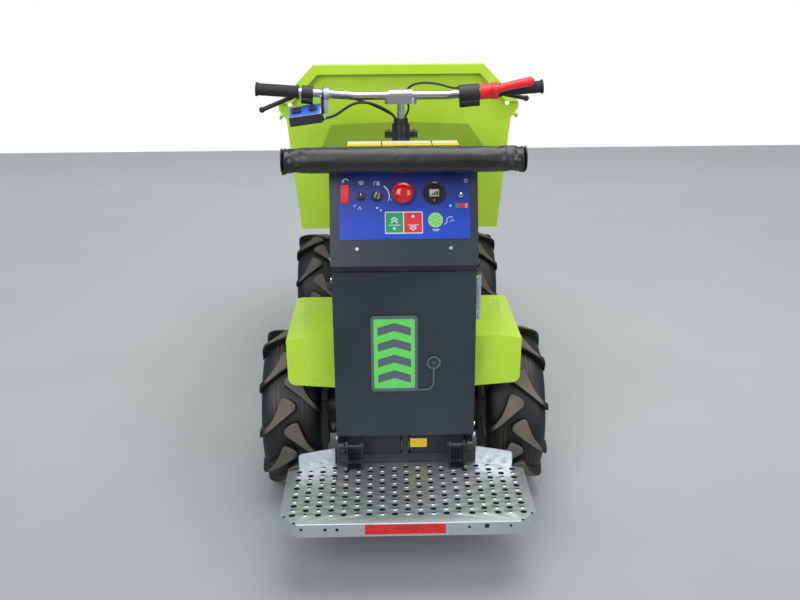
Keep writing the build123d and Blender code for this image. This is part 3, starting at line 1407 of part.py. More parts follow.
def cap_outline(inset):
    """Top of the guard above its ears, its top and sloping sides drawn in by inset."""
    low = ear_top + EDGE_R
    side_in = inset * hypot(1, cap_slope)
    top_half = SKIP_GUARD_W / 2 + cap_slope * inset - side_in
    low_half = SKIP_GUARD_W / 2 + cap_slope * (wall_len - low) - side_in
    with BuildSketch() as cap:
        with BuildLine():
            Polyline(
                (-low_half, low - inset / 100), (-top_half, wall_len - inset), (top_half, wall_len - inset),
                (low_half, low - inset / 100), close=True,
            )
        make_face()
    return cap.sketch


with BuildPart() as skip_guard:
    with BuildSketch(wall_plane.offset(REST + t)):
        add(cap_outline(0))
        add(cap_outline(FOLD_LIP), mode=Mode.SUBTRACT)
    extrude(amount=FOLD_DEPTH)
    with BuildSketch(wall_plane.offset(REST + t)):
        add(cap_outline(t))
    extrude(amount=FOLD_DEPTH - t, mode=Mode.SUBTRACT)
    with BuildSketch(wall_plane.offset(REST)) as plate:
        with BuildLine():
            Polyline(
                (-SKIP_FLOOR_W / 2, 0), (-SKIP_RIM_W / 2, rim_up - SKIP_FLANGE / 2),
                (-SKIP_EAR_W / 2, rim_up + EAR_LOW), (-SKIP_EAR_W / 2, ear_top),
                (-SKIP_GUARD_W / 2, wall_len),
                (SKIP_GUARD_W / 2, wall_len), (SKIP_EAR_W / 2, ear_top), (SKIP_EAR_W / 2, rim_up + EAR_LOW),
                (SKIP_RIM_W / 2, rim_up - SKIP_FLANGE / 2), (SKIP_FLOOR_W / 2, 0), close=True,
            )
        make_face()
        ear_corners = plate.vertices().filter_by(lambda corner: abs(corner.X) > SKIP_EAR_W / 2 - 1)
        fillet(ear_corners, radius=EAR_HIGH / 4)
        with Locations(*[(sx * (SKIP_EAR_W / 2 - EYE_HOLE_IN), rim_up + EYE_HOLE_IN) for sx in (-1, 1)]):
            Circle(EYE_HOLE_R, mode=Mode.SUBTRACT)
    extrude(amount=t)

save(skip_guard.part, "skip_guard")

# channels under the floor, open at the bottom, with the tipping ears inside their front ends
channel_h = SKIP_FLOOR_Z - STAND_TOP_Z - 2 * REST
channel_top = SKIP_FLOOR_Z - REST
with BuildPart() as skip_frame:
    for sx in (-1, 1):
        with BuildSketch(across(CHANNEL_MID_Y - CHANNEL_L / 2)):
            with Locations((sx * CHANNEL_X, channel_top - channel_h / 2)):
                Rectangle(CHANNEL_W, channel_h)
            with Locations((sx * CHANNEL_X, channel_top - channel_h / 2 - CHANNEL_T)):
                Rectangle(CHANNEL_W - 2 * CHANNEL_T, channel_h, mode=Mode.SUBTRACT)
        extrude(amount=-CHANNEL_L)
        with BuildSketch(side(sx * EAR_X)):
            with BuildLine():
                Polyline(
                    (TIP_Y - EAR_REACH, channel_top), (TIP_Y - EAR_REACH, channel_top - channel_h),
                    (TIP_Y - TIP_EYE_R, TIP_Z), (TIP_Y, TIP_Z - TIP_EYE_R), (TIP_Y + TIP_EYE_R, TIP_Z),
                    (TIP_Y + TIP_EYE_R, channel_top - channel_h), (TIP_Y - 46, channel_top), close=True,
                )
            make_face()
            with Locations((TIP_Y, TIP_Z)):
                Circle(TIP_EYE_R)
        extrude(amount=sx * EAR_T)
        with BuildSketch(side(sx * (EAR_X - EAR_T))):
            with Locations((TIP_Y, TIP_Z)):
                Circle(TIP_PIN_R + RUN)
        extrude(amount=sx * 4 * EAR_T, mode=Mode.SUBTRACT)

save(skip_frame.part, "skip_frame")

# ---------------------------------------------------------------- tipping cylinder
run = Vector(0, CYL_EYE_Y - CYL_FOOT_Y, CYL_EYE_Z - CYL_FOOT_Z)
cylinder_axis = Plane(origin=(0, CYL_FOOT_Y, CYL_FOOT_Z), x_dir=(1, 0, 0), z_dir=run)
barrel_l = run.length - CYL_NECK - CYL_SHORT
with BuildPart() as cylinder_barrel:
    with BuildSketch(cylinder_axis):
        Circle(CYL_ROD_R)
    extrude(amount=CYL_NECK + 10)
    with BuildSketch(cylinder_axis.offset(CYL_NECK)):
        Circle(CYL_R)
    extrude(amount=barrel_l)
    # gland nut and the two hose ports
    with BuildSketch(cylinder_axis.offset(CYL_NECK + barrel_l - CYL_ROD_R)):
        Circle(CYL_R + 3)
    extrude(amount=CYL_ROD_R)
    for start in (CYL_NECK + CYL_ROD_R, CYL_NECK + barrel_l - 3 * CYL_ROD_R):
        port = cylinder_axis.from_local_coords((0, 0, start))
        with BuildSketch(Plane(origin=port, z_dir=cylinder_axis.y_dir)):
            RegularPolygon(CYL_ROD_R * 0.7, 6)
        extrude(amount=CYL_R + 8)
    with BuildSketch(cylinder_axis.offset(CYL_NECK + 6)):
        Circle(CYL_ROD_R + RUN)
    extrude(amount=run.length, mode=Mode.SUBTRACT)
    with BuildSketch(side(-FOOT_X + 1)):
        with Locations((CYL_FOOT_Y, CYL_FOOT_Z)):
            Circle(2 * CYL_PIN_R)
    extrude(amount=2 * FOOT_X - 2)
    with BuildSketch(side(-FOOT_X)):
        with Locations((CYL_FOOT_Y, CYL_FOOT_Z)):
            Circle(CYL_PIN_R + RUN)
    extrude(amount=2 * FOOT_X, mode=Mode.SUBTRACT)

save(cylinder_barrel.part, "cylinder_barrel")

with BuildPart() as cylinder_rod:
    with BuildSketch(cylinder_axis.offset(CYL_NECK + 8)):
        Circle(CYL_ROD_R)
    extrude(amount=run.length - CYL_NECK - 8)
    with BuildSketch(side(-FOOT_X)):
        with Locations((CYL_EYE_Y, CYL_EYE_Z)):
            Circle(CYL_EYE_R)
    extrude(amount=2 * FOOT_X)
    with BuildSketch(side(-FOOT_X - 5)):
        with Locations((CYL_EYE_Y, CYL_EYE_Z)):
            Circle(CYL_PIN_R)
    extrude(amount=2 * FOOT_X + 10, mode=Mode.SUBTRACT)

save(cylinder_rod.part, "cylinder_rod")

foot_low = rail_top + REST
with BuildPart() as cylinder_foot:
    with BuildSketch(level(foot_low)):
        with Locations((0, CYL_FOOT_Y)):
            Rectangle(2 * RAIL_X + RAIL_W, FOOT_PLATE_W)
    extrude(amount=FOOT_PLATE_T)
    for sx in (-1, 1):
        with BuildSketch(side(sx * FOOT_X)):
            with Locations((CYL_FOOT_Y, CYL_FOOT_Z)):
                Circle(LUG_PLATE_W / 2)
            with Locations((CYL_FOOT_Y, (CYL_FOOT_Z + foot_low) / 2)):
                Rectangle(LUG_PLATE_W, CYL_FOOT_Z - foot_low)
        extrude(amount=sx * LUG_PLATE_T)
    with BuildSketch(side(-FOOT_X - LUG_PLATE_T - t)):
        with Locations((CYL_FOOT_Y, CYL_FOOT_Z)):
            Circle(CYL_PIN_R)
    extrude(amount=2 * (FOOT_X + LUG_PLATE_T + t))

save(cylinder_foot.part, "cylinder_foot")

with BuildPart() as cylinder_bracket:
    for sx in (-1, 1):
        with BuildSketch(side(sx * BRACKET_X)):
            with Locations((CYL_EYE_Y, CYL_EYE_Z)):
                Circle(LUG_PLATE_W / 2)
            with Locations((CYL_EYE_Y, (CYL_EYE_Z + channel_top) / 2)):
                Rectangle(LUG_PLATE_W, channel_top - CYL_EYE_Z)
        extrude(amount=sx * LUG_PLATE_T)
    with BuildSketch(level(channel_top - FOOT_PLATE_T)):
        with Locations((0, CYL_EYE_Y)):
            Rectangle(2 * (CHANNEL_X - CHANNEL_W / 2) - 2 * CHANNEL_T, FOOT_PLATE_W)
    extrude(amount=FOOT_PLATE_T)

save(cylinder_bracket.part, "cylinder_bracket")

# ---------------------------------------------------------------- cables
cable_low = boot_z + BOOT_H - CABLE_SUNK
gland_end = lean.from_local_coords((0, GLAND_UP, SWITCH_W / 2 + GLAND_L))
mount_face = bar_plane(-232)
housing_face = bar_plane(155)
mount_exit = mount_face.from_local_coords((14.7, -2, 0))
housing_exit = housing_face.from_local_coords((5, 15.5, 0))
# radius, then the route from its outlet down to the boot on the column
cable_routes = [
    (CABLE_R, [
        gland_end, gland_end + lean_out * 22, (-150, -471, 1101), (-121, -468, 1117), (-86, -466, 1117),
        (-56, -464, 1106), (-33, -462, 1092), (-18, -461, 1081), (-12.5, -461, cable_low),
    ]),
    (CABLE_R - 0.5, [
        mount_exit, mount_exit - mount_face.z_dir * 10, (-206, -431, 1138), (-165, -433, 1131),
        (-125, -440, 1124), (-88, -446, 1114), (-58, -448, 1101), (-35, -448, 1089), (-19, -447, 1080),
        (-12.5, -447, cable_low),
    ]),
    (CABLE_R - 0.5, [
        housing_exit, housing_exit - housing_face.z_dir * 16, (112, -446, 1159), (74, -441, 1165),
        (38, -433, 1162), (16, -427, 1147), (14, -422, 1127), (21, -422, 1108), (22, -430, 1092),
        (15, -440, 1082), (10, -444, cable_low),
    ]),
]


def cable(radius, points):
    """Tube along straight runs joined by arcs as large as the runs allow."""
    points = [Vector(*point) for point in points]
    runs = [after - before for before, after in zip(points, points[1:])]
    radii = []
    for before, after in zip(runs, runs[1:]):
        half_turn = radians(before.get_angle(after) / 2)
        radii.append(CORNER_SHARE * min(before.length, after.length) / tan(half_turn))
    with BuildPart() as tube:
        with BuildLine() as route:
            FilletPolyline(*points, radius=radii)
        with BuildSketch(Plane(origin=route.line @ 0, z_dir=route.line % 0)):
            Circle(radius)
        sweep()
    length = sum(edge.length for edge in route.edges())
    fill = tube.part.volume / (length * pi * radius ** 2)
    print("cable", round(length), "mm, corner radii", [round(r) for r in radii], "filled", round(fill, 3))
    return tube.part


with BuildPart() as cables:
    for radius, points in cable_routes:
        add(cable(radius, points))

save(cables.part, "cables")
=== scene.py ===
import bmesh
import bpy
from math import cos, hypot, pi, radians, sin
from mathutils import Matrix, Vector
from mathutils.geometry import delaunay_2d_cdt


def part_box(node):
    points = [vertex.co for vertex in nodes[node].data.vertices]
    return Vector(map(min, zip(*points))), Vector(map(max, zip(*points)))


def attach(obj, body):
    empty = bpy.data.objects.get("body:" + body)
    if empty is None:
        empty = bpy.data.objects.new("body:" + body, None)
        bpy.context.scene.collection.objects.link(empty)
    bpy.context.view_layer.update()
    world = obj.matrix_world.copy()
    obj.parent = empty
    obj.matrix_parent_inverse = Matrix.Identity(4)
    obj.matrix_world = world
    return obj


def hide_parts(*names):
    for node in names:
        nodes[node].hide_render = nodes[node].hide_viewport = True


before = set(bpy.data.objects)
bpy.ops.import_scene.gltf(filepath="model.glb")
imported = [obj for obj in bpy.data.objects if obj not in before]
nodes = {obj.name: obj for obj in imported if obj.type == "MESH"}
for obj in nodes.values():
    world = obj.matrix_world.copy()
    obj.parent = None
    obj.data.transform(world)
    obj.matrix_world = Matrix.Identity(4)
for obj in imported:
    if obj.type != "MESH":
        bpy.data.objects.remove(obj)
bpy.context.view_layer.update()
scene = bpy.context.scene
MM = 0.001


# ---------------------------------------------------------------- shader nodes


def colour(red, green, blue):
    """Linear colour from a paint card's red, green and blue, 0 to 255."""
    def linear(v):
        v /= 255
        return v / 12.92 if v <= 0.04045 else ((v + 0.055) / 1.055) ** 2.4
    return (linear(red), linear(green), linear(blue), 1.0)


class Value:
    """A number that varies over a surface; arithmetic on it adds Math nodes."""

    def __init__(self, finish, socket):
        self.finish = finish
        self.socket = socket

    def math(self, operation, *terms):
        return self.finish.node("Math", {"operation": operation}, dict(enumerate(terms)))

    def __add__(self, other):
        return self.math("ADD", self, other)

    def __sub__(self, other):
        return self.math("SUBTRACT", self, other)

    def __rsub__(self, other):
        return self.math("SUBTRACT", other, self)

    def __mul__(self, other):
        return self.math("MULTIPLY", self, other)

    def __truediv__(self, other):
        return self.math("DIVIDE", self, other)

    def __gt__(self, other):
        return self.math("GREATER_THAN", self, other)

    def __lt__(self, other):
        return self.math("LESS_THAN", self, other)

    def sine(self):
        return self.math("SINE", self)

    def size(self):
        return self.math("ABSOLUTE", self)

    __radd__ = __add__
    __rmul__ = __mul__


class Finish:
    """One material: a Principled shader, with constants on its own sockets and nodes for what varies."""

    def __init__(self, name, base, roughness, metallic=0.0, **constants):
        self.material = bpy.data.materials.new(name)
        self.material.use_nodes = True
        self.tree = self.material.node_tree
        self.shader = self.tree.nodes["Principled BSDF"]
        self.base = base
        self.set("Base Color", base)
        self.set("Roughness", roughness)
        self.set("Metallic", metallic)
        for socket, value in constants.items():
            self.set(socket.replace("_", " "), value)
        self.place = self.node("TexCoord", output="Object")
        self.material.diffuse_color = base

    def set(self, socket, value):
        """Puts a number, colour or varying value on a socket of the shader."""
        self._fill(self.shader.inputs[socket], value)

    def _fill(self, socket, value):
        if isinstance(value, Value):
            self.tree.links.new(value.socket, socket)
        else:
            socket.default_value = value

    def node(self, kind, settings=None, inputs=None, output=0):
        """Adds one shader node and returns one of its outputs. A ramp's stops are the setting "stops"."""
        made = self.tree.nodes.new(f"ShaderNode{kind}")
        for key, value in (settings or {}).items():
            if key == "stops":
                ramp = made.color_ramp.elements
                while len(ramp) < len(value):
                    ramp.new(0.5)
                for stop, (place, shade) in zip(ramp, value):
                    stop.position = place
                    stop.color = shade
            else:
                setattr(made, key, value)
        for key, value in (inputs or {}).items():
            self._fill(made.inputs[key], value)
        return Value(self, made.outputs[output])

    def noise(self, scale, detail=2.0, stretch=None, output=0):
        place = self.place if stretch is None else self.stretched(stretch)
        return self.node(
            "TexNoise", inputs={"Vector": place, "Scale": scale, "Detail": detail}, output=output,
        )

    def stretched(self, scale, turn=(0, 0, 0), shift=(0, 0, 0)):
        return self.node(
            "Mapping", inputs={"Vector": self.place, "Scale": scale, "Rotation": turn, "Location": shift},
        )

    def mix(self, share, first, second):
        """Colour that goes from first to second as share goes from 0 to 1."""
        return self.node(
            "Mix", {"data_type": "RGBA"}, {0: share, 6: first, 7: second}, output=2,
        )

    def ramp(self, value, *stops):
        """Grey ramp: stops are (place, brightness)."""
        shades = [(place, (v, v, v, 1)) for place, v in stops]
        return self.node("ValToRGB", {"stops": shades}, {"Fac": value})

    def axis(self, letter):
        """One coordinate of the place on the surface."""
        return self.node("SeparateXYZ", inputs={0: self.place}, output=letter)

    def bump(self, height, distance, strength=1.0):
        normal = self.node(
            "Bump", inputs={"Height": height, "Distance": distance, "Strength": strength}, output="Normal",
        )
        self.set("Normal", normal)


# ---------------------------------------------------------------- finishes


def powder_coat(name, base, roughness=0.38, dust=0.03):
    """Sprayed and baked paint: fine orange peel and a breath of dust."""
    finish = Finish(name, base, roughness, Coat_Roughness=0.18)
    cloud = finish.noise(4.5, 4)
    pale = tuple(min(1, v * 1.06 + 0.012) for v in base[:3]) + (1,)
    finish.set("Base Color", finish.mix(finish.ramp(cloud, (0.35, 0), (0.7, 1)), base, pale))
    specks = finish.ramp(finish.noise(260, 3), (0.66, 0), (0.74, 1))
    finish.set("Roughness", roughness + cloud * 0.10 - 0.05 + specks * dust)
    finish.set("Coat Weight", 0.25 + cloud * 0.10)
    finish.bump(finish.noise(700, 2), 0.00012, 0.35)
    return finish.material


def hot_zinc(name, base, rough=0.30):
    """Hot-dip galvanised sheet: fine soft spangle and long pale clouds."""
    finish = Finish(name, base, rough, 1.0)
    flake = finish.node(
        "TexVoronoi", inputs={"Vector": finish.place, "Scale": 260.0, "Randomness": 1.0}, output="Color",
    )
    shade = finish.node("SeparateColor", inputs={0: flake}, output=0)
    cloud = finish.noise(5, 4, (1, 0.6, 1))
    dark = tuple(v * 0.80 for v in base[:3]) + (1,)
    finish.set("Base Color", finish.mix(shade * 0.3 + cloud * 0.7, dark, base))
    finish.set("Roughness", rough - 0.08 + shade * 0.08 + cloud * 0.18)
    finish.bump(shade * 0.5 + finish.noise(500, 2) * 0.4, 0.00005, 0.3)
    return finish.material


STRAP_X = 0.187          # hinge straps lie inside this, foot guards outside it, metres


def fittings_zinc(name, base):
    """Galvanised foot guards; the hinge straps near the middle are painted dark."""
    finish = Finish(name, base, 0.4)
    x = finish.axis("X")
    guard = (x > STRAP_X) + (x < -STRAP_X)
    cloud = finish.noise(5, 4, (1, 0.6, 1))
    zinc = finish.mix(cloud, tuple(v * 0.8 for v in base[:3]) + (1,), base)
    finish.set("Base Color", finish.mix(guard, colour(26, 30, 35), zinc))
    finish.set("Metallic", guard * 1.0)
    finish.set("Roughness", 0.44 - cloud * 0.14)
    finish.bump(finish.noise(500, 2), 0.00005, 0.3)
    return finish.material


def panel_blue_with_pad_shadow(name):
    """Printed blue foil, darkened towards its top edge by a painted shadow of the bump pad."""
    finish = Finish(name, colour(26, 66, 178), 0.3)
    # painted shadow of the bump pad: the colour goes to deep navy towards the fascia's top edge
    height = finish.ramp((finish.axis("Z") - 0.86) / 0.09, (0.0, 0), (1.0, 1))
    cloud = finish.noise(7, 3)
    low_blue = finish.mix(cloud, colour(22, 62, 176), colour(34, 78, 198))
    finish.set("Base Color", finish.mix(height, low_blue, colour(10, 30, 104)))
    finish.set("Roughness", 0.24 + cloud * 0.12)
    finish.bump(finish.noise(700, 2), 0.00004, 0.3)
    return finish.material


def tread_rubber(name, middle):
    """Moulded rubber about a wheel's middle: dark carcass with thin coloured lines, rubbed brown lug tops."""
    finish = Finish(name, colour(30, 32, 36), 0.62)
    out = finish.node(
        "VectorMath", {"operation": "LENGTH"},
        {0: finish.stretched((0, 1, 1), shift=(0, -middle.y, -middle.z))}, output="Value",
    )
    top = finish.ramp((out - 0.2215) / 0.004, (0.1, 0), (0.9, 1))
    sole = finish.ramp((out - 0.212) / 0.004, (0.1, 1), (0.9, 0))
    cloud = finish.noise(26, 5)
    smear = finish.noise(9, 3, (1, 0.5, 0.5))
    face = finish.mix(cloud, colour(88, 82, 75), colour(122, 113, 103))
    side = finish.mix(smear, colour(11, 13, 17), colour(26, 29, 34))
    # thin lines run round the bottom of the tread, on both sides of its middle
    across = (finish.axis("X") - middle.x).size()
    inner_line = (across > 0.0325) * (across < 0.0337)
    outer_line = (across > 0.0440) * (across < 0.0449)
    line = (inner_line + outer_line) * sole * (out > 0.2)
    broken = finish.ramp(smear, (0.48, 0), (0.62, 0.55))
    marked = finish.mix(line * broken, side, colour(190, 130, 44))
    finish.set("Base Color", finish.mix(top, marked, face))
    finish.set("Roughness", 0.42 + top * 0.30 + smear * 0.14)
    finish.bump(finish.noise(420, 4) + finish.noise(60, 3) * 0.8, 0.0005, 0.5)
    return finish.material


def bright_plate(name, base=(0.86, 0.87, 0.88, 1), rough=0.1):
    """Bright chrome or nickel plate, faintly brushed."""
    finish = Finish(name, base, rough, 1.0)
    brushed = finish.noise(90, 3, (0.12, 1, 1))
    finish.set("Roughness", rough + brushed * 0.12)
    finish.bump(brushed, 0.00005, 0.25)
    return finish.material


def moulded(name, base, rough=0.45, grain=0.00025):
    """Injection-moulded plastic or grip rubber with a fine spark-eroded grain."""
    finish = Finish(name, base, rough)
    cloud = finish.noise(30, 3)
    pale = tuple(min(1, v * 1.25 + 0.006) for v in base[:3]) + (1,)
    finish.set("Base Color", finish.mix(cloud, base, pale))
    finish.set("Roughness", rough - 0.06 + cloud * 0.14)
    finish.bump(finish.noise(1100, 2), grain, 0.6)
    return finish.material


RIB_PITCH = 0.0042       # from ring to ring along a grip, metres


def ribbed_grip(name):
    """Grip rubber with rings round the handle, close together."""
    finish = Finish(name, colour(28, 29, 31), 0.62)
    along = finish.axis("X")
    ring = (along * (2 * pi / RIB_PITCH)).sine()
    finish.set("Roughness", 0.56 + finish.noise(60, 3) * 0.16)
    finish.bump(ring * 0.5 + finish.noise(900, 2) * 0.2, 0.0006, 0.7)
    return finish.material


CLAMP_X = -0.2035        # outboard edge of the switch box's clamp, metres


def switch_case(name):
    """Black box with a pale metal clamp at its inboard end."""
    finish = Finish(name, colour(20, 22, 26), 0.45)
    clamp = finish.axis("X") > CLAMP_X
    cloud = finish.noise(30, 3)
    box = finish.mix(cloud, colour(16, 18, 22), colour(30, 33, 38))
    steel = finish.mix(cloud, colour(150, 172, 200), colour(186, 204, 226))
    finish.set("Base Color", finish.mix(clamp, box, steel))
    finish.set("Roughness", 0.40 + cloud * 0.16 - clamp * 0.12)
    finish.set("Metallic", clamp * 0.7)
    finish.bump(finish.noise(900, 2), 0.0001, 0.5)
    return finish.material


def vinyl(name):
    """Black upholstery vinyl: leather grain, a soft sheen, long drawn creases, and painted highlight and
    shade along those creases.
    """
    finish = Finish(name, colour(10, 10, 12), 0.36, Coat_Roughness=0.3)
    grain = finish.node(
        "TexVoronoi", {"feature": "DISTANCE_TO_EDGE"}, {"Vector": finish.place, "Scale": 620.0},
    )
    crease_and_sheen = finish.noise(9, 6, (1.2, 6, 6))
    # painted highlight and shade: the colour is lighter and darker along the creases
    finish.set("Base Color", finish.mix(crease_and_sheen, colour(7, 7, 9), colour(19, 19, 22)))
    finish.set("Roughness", 0.28 + crease_and_sheen * 0.22)
    finish.set("Coat Weight", 0.2 + crease_and_sheen * 0.2)
    finish.bump(grain * 0.18 + crease_and_sheen * 1.6 + finish.noise(60, 4) * 0.15, 0.0022, 0.6)
    return finish.material


def printed(name, base, rough=0.35, **constants):
    """Ink or thin film: a little uneven, with a faint rubbed bloom."""
    finish = Finish(name, base, rough, **constants)
    bloom = finish.noise(35, 4)
    dull = tuple(v * 0.86 for v in base[:3]) + (1,)
    finish.set("Base Color", finish.mix(bloom, dull, base))
    finish.set("Roughness", rough - 0.05 + bloom * 0.15)
    finish.bump(finish.noise(900, 2), 0.00003, 0.3)
    return finish.material


PRISM_TURNS = 700        # radians of the tape's lattice in one metre


def prism_tape(name, base):
    """Reflective tape: a lattice of small prisms under a clear film."""
    finish = Finish(name, base, 0.22, Coat_Weight=0.6, Coat_Roughness=0.08)
    x, z = finish.axis("X"), finish.axis("Z")
    first = ((x + z) * PRISM_TURNS).sine()
    second = ((x - z) * PRISM_TURNS).sine()
    cell = first * second * 0.5 + 0.5
    patch = finish.ramp(finish.noise(45, 2), (0.42, 0), (0.58, 1))
    dark = tuple(v * 0.55 for v in base[:3]) + (1,)
    finish.set("Base Color", finish.mix(cell * 0.5 + patch * 0.5, dark, base))
    finish.set("Roughness", 0.16 + cell * 0.18)
    finish.bump(cell, 0.0004, 0.5)
    return finish.material


LIME = powder_coat("lime powder coat", colour(186, 222, 52), 0.36)
ANTHRACITE = powder_coat("anthracite powder coat", colour(30, 41, 52), 0.30)
HOOD_PAINT = powder_coat("dark gloss top plate", colour(16, 22, 24), 0.10, 0.0)
CHASSIS_PAINT = powder_coat("satin black chassis paint", colour(18, 21, 25), 0.42)
ZINC = hot_zinc("galvanised sheet", (0.66, 0.71, 0.74, 1), 0.40)
CHROME = bright_plate("chrome plate", (0.60, 0.63, 0.66, 1))
ZINC_PLATE = bright_plate("bright zinc plate", (0.72, 0.75, 0.78, 1), 0.22)
RIM_PAINT = powder_coat("light grey wheel paint", colour(196, 198, 200), 0.32)
BLACK = moulded("black moulded plastic", colour(26, 27, 29))
SOFT_BLACK = moulded("black cable sheath", colour(18, 18, 20), 0.5, 0.0001)
RED = moulded("red moulded plastic", colour(214, 30, 34), 0.28, 0.00006)
RED_GLOSS = printed("glossy red cap", colour(206, 12, 16), 0.12, Coat_Weight=0.6, Coat_Roughness=0.05)
BLUE = panel_blue_with_pad_shadow("blue printed panel with painted pad shadow")
FITTINGS = fittings_zinc("galvanised foot guards", (0.74, 0.79, 0.82, 1))
BLUE_BOX = moulded("blue switch box face", colour(48, 92, 196), 0.36, 0.0001)
GRIP = ribbed_grip("ribbed grip rubber")
SWITCH_CASE = switch_case("switch box case and clamp")
VINYL = vinyl("black upholstery vinyl")
TYRE_BLACK = moulded("plain tyre rubber", colour(30, 32, 36), 0.6)
BATTERY = moulded("battery case", colour(14, 18, 26), 0.45)
GLASS_BLACK = moulded("smoked gauge glass", colour(16, 20, 22), 0.08, 0.0)
BRIGHT_EDGE = bright_plate("brushed box edge", (0.70, 0.78, 0.90, 1), 0.3)
REFLECTOR = prism_tape("red reflective tape", colour(232, 18, 16))
# painted shade: near-black for the walls of holes and for the discs that stand in for holes
HOLE_SHADE = printed("painted hole shade", colour(16, 18, 20), 0.8)
DISPLAY = printed("grey-green display", colour(168, 182, 170), 0.18)
WHITE_INK = printed("white print", colour(206, 216, 236))
PALE_INK = printed("pale label", colour(214, 212, 184))
YELLOW_INK = printed("yellow label", colour(226, 196, 40))
DARK_INK = printed("black print", colour(26, 26, 24))
GREEN_INK = printed("green print", colour(20, 150, 92))
PALE_GREEN_INK = printed("pale green print", colour(150, 214, 108))
RED_INK = printed("red print", colour(220, 34, 42))
ORANGE_INK = printed("orange print", colour(226, 140, 40))
GREY_INK = printed("grey film", colour(92, 104, 114))
GREEN_FILM = printed("bright green film", colour(104, 222, 98))

node_finish = {
    LIME: ("skip", "skip_guard", "skip_frame", "fender_left", "fender_right", "cylinder_bracket"),
    ANTHRACITE: ("body_shell", "rear_door", "pad_bar"),
    HOOD_PAINT: ("hood_top",),
    CHASSIS_PAINT: (
        "chassis_frame", "skip_stand", "rear_axle", "front_axle", "knuckle_left", "knuckle_right",
        "drive_motor", "deck_hinge", "column_bearing", "cylinder_barrel", "cylinder_foot", "door_pins",
    ),
    ZINC: ("deck",),
    FITTINGS: ("deck_fittings",),
    ZINC_PLATE: ("tie_rod", "drag_link", "latch"),
    SOFT_BLACK: ("cable_boot", "cables"),
    CHROME: ("handlebar", "handlebar_clamp", "steering_column", "cylinder_rod", "indicator"),
    RIM_PAINT: ("rim_rear_left", "rim_rear_right", "rim_front_left", "rim_front_right"),
    BLACK: (
        "lever_mount_left", "throttle_housing", "switch_keys", "knob", "key_switch", "brake_lever_left",
        "brake_lever_right",
    ),
    GRIP: ("grip_left", "grip_right"),
    RED: ("throttle_lever", "throttle_collar", "stop_button", "rocker_switch"),
    BLUE: ("fascia",),
    SWITCH_CASE: ("switch_box",),
    BATTERY: ("batteries",),
    GLASS_BLACK: ("gauge",),
    VINYL: ("bump_pad",),
    TYRE_BLACK: ("tyre_rear_left", "tyre_rear_right", "tyre_front_left", "tyre_front_right"),
}
for finish, names in node_finish.items():
    for name in names:
        nodes[name].data.materials.clear()
        nodes[name].data.materials.append(finish)

# ---------------------------------------------------------------- making pieces


def add_piece(name, body, finishes, source, replaced=(), sharp=35):
    """Turns a bmesh, in metres in the row frame, into a piece that rides on a body."""
    if isinstance(source, bmesh.types.BMesh):
        bmesh.ops.recalc_face_normals(source, faces=source.faces[:])
        mesh = bpy.data.meshes.new(name)
        source.to_mesh(mesh)
        source.free()
    else:
        mesh = source
    mesh.shade_smooth()
    mesh.set_sharp_from_angle(angle=radians(sharp))
    for finish in finishes:
        mesh.materials.append(finish)
    piece = bpy.data.objects.new(name, mesh)
    scene.collection.objects.link(piece)
    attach(piece, body)
    if replaced:
        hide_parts(*replaced)
    return piece


class Face:
    """A flat face that small things lie on: across and up run along it, out stands off it; millimetres."""

    def __init__(self, origin, across=(1, 0, 0), up=(0, 0, 1)):
        self.origin = Vector(origin)
        self.across = Vector(across).normalized()
        self.up = Vector(up).normalized()
        self.out = self.across.cross(self.up)

    def place(self, across, up, out=0.0):
        return (self.origin + self.across * across + self.up * up + self.out * out) * MM


def plate(target, face, outline, low, high, finish=0):
    """Closed plate with the outline's corners, from low to high off a face."""
    rings = [[target.verts.new(face.place(x, y, out)) for x, y in outline] for out in (low, high)]
    faces = [target.faces.new(rings[0][::-1]), target.faces.new(rings[1])]
    for k in range(len(outline)):
        after = (k + 1) % len(outline)
        faces.append(target.faces.new((rings[0][k], rings[0][after], rings[1][after], rings[1][k])))
    for made in faces:
        made.material_index = finish


def disc(x, y, radius, corners=24):
    turns = [2 * pi * k / corners for k in range(corners)]
    return [(x + radius * cos(turn), y + radius * sin(turn)) for turn in turns]


def rounded(left, low, right, high, radius, steps=5):
    """Outline of a rectangle with round corners."""
    outline = []
    for x, y, start in (
        (right - radius, low + radius, -90), (right - radius, high - radius, 0),
        (left + radius, high - radius, 90), (left + radius, low + radius, 180),
    ):
        for k in range(steps + 1):
            turn = radians(start + 90 * k / steps)
            outline.append((x + radius * cos(turn), y + radius * sin(turn)))
    return outline


def stroke(points, width):
    """Outline of a line drawn with a broad pen through points."""
    left, right = [], []
    for k, (x, y) in enumerate(points):
        before, after = points[max(k - 1, 0)], points[min(k + 1, len(points) - 1)]
        dx, dy = after[0] - before[0], after[1] - before[1]
        size = hypot(dx, dy)
        left.append((x - dy / size * width / 2, y + dx / size * width / 2))
        right.append((x + dy / size * width / 2, y - dx / size * width / 2))
    return left + right[::-1]


def arc(x, y, radius, start, end, steps=10):
    turns = [radians(start + (end - start) * k / steps) for k in range(steps + 1)]
    return [(x + radius * cos(turn), y + radius * sin(turn)) for turn in turns]


def turned(target, origin, direction, outline, corners=24, finish=0):
    """Solid turned about a direction from origin; outline holds (radius, height) from foot to top."""
    direction = Vector(direction).normalized()
    side = direction.orthogonal().normalized()
    other = direction.cross(side)
    rings = []
    for radius, height in outline:
        ring = []
        for k in range(corners):
            turn = 2 * pi * k / corners
            spot = Vector(origin) + direction * height + (side * cos(turn) + other * sin(turn)) * radius
            ring.append(target.verts.new(spot * MM))
        rings.append(ring)
    faces = [target.faces.new(rings[0][::-1]), target.faces.new(rings[-1])]
    for lower, upper in zip(rings, rings[1:]):
        for k in range(corners):
            after = (k + 1) % corners
            faces.append(target.faces.new((lower[k], lower[after], upper[after], upper[k])))
    for made in faces:
        made.material_index = finish


# ---------------------------------------------------------------- cables

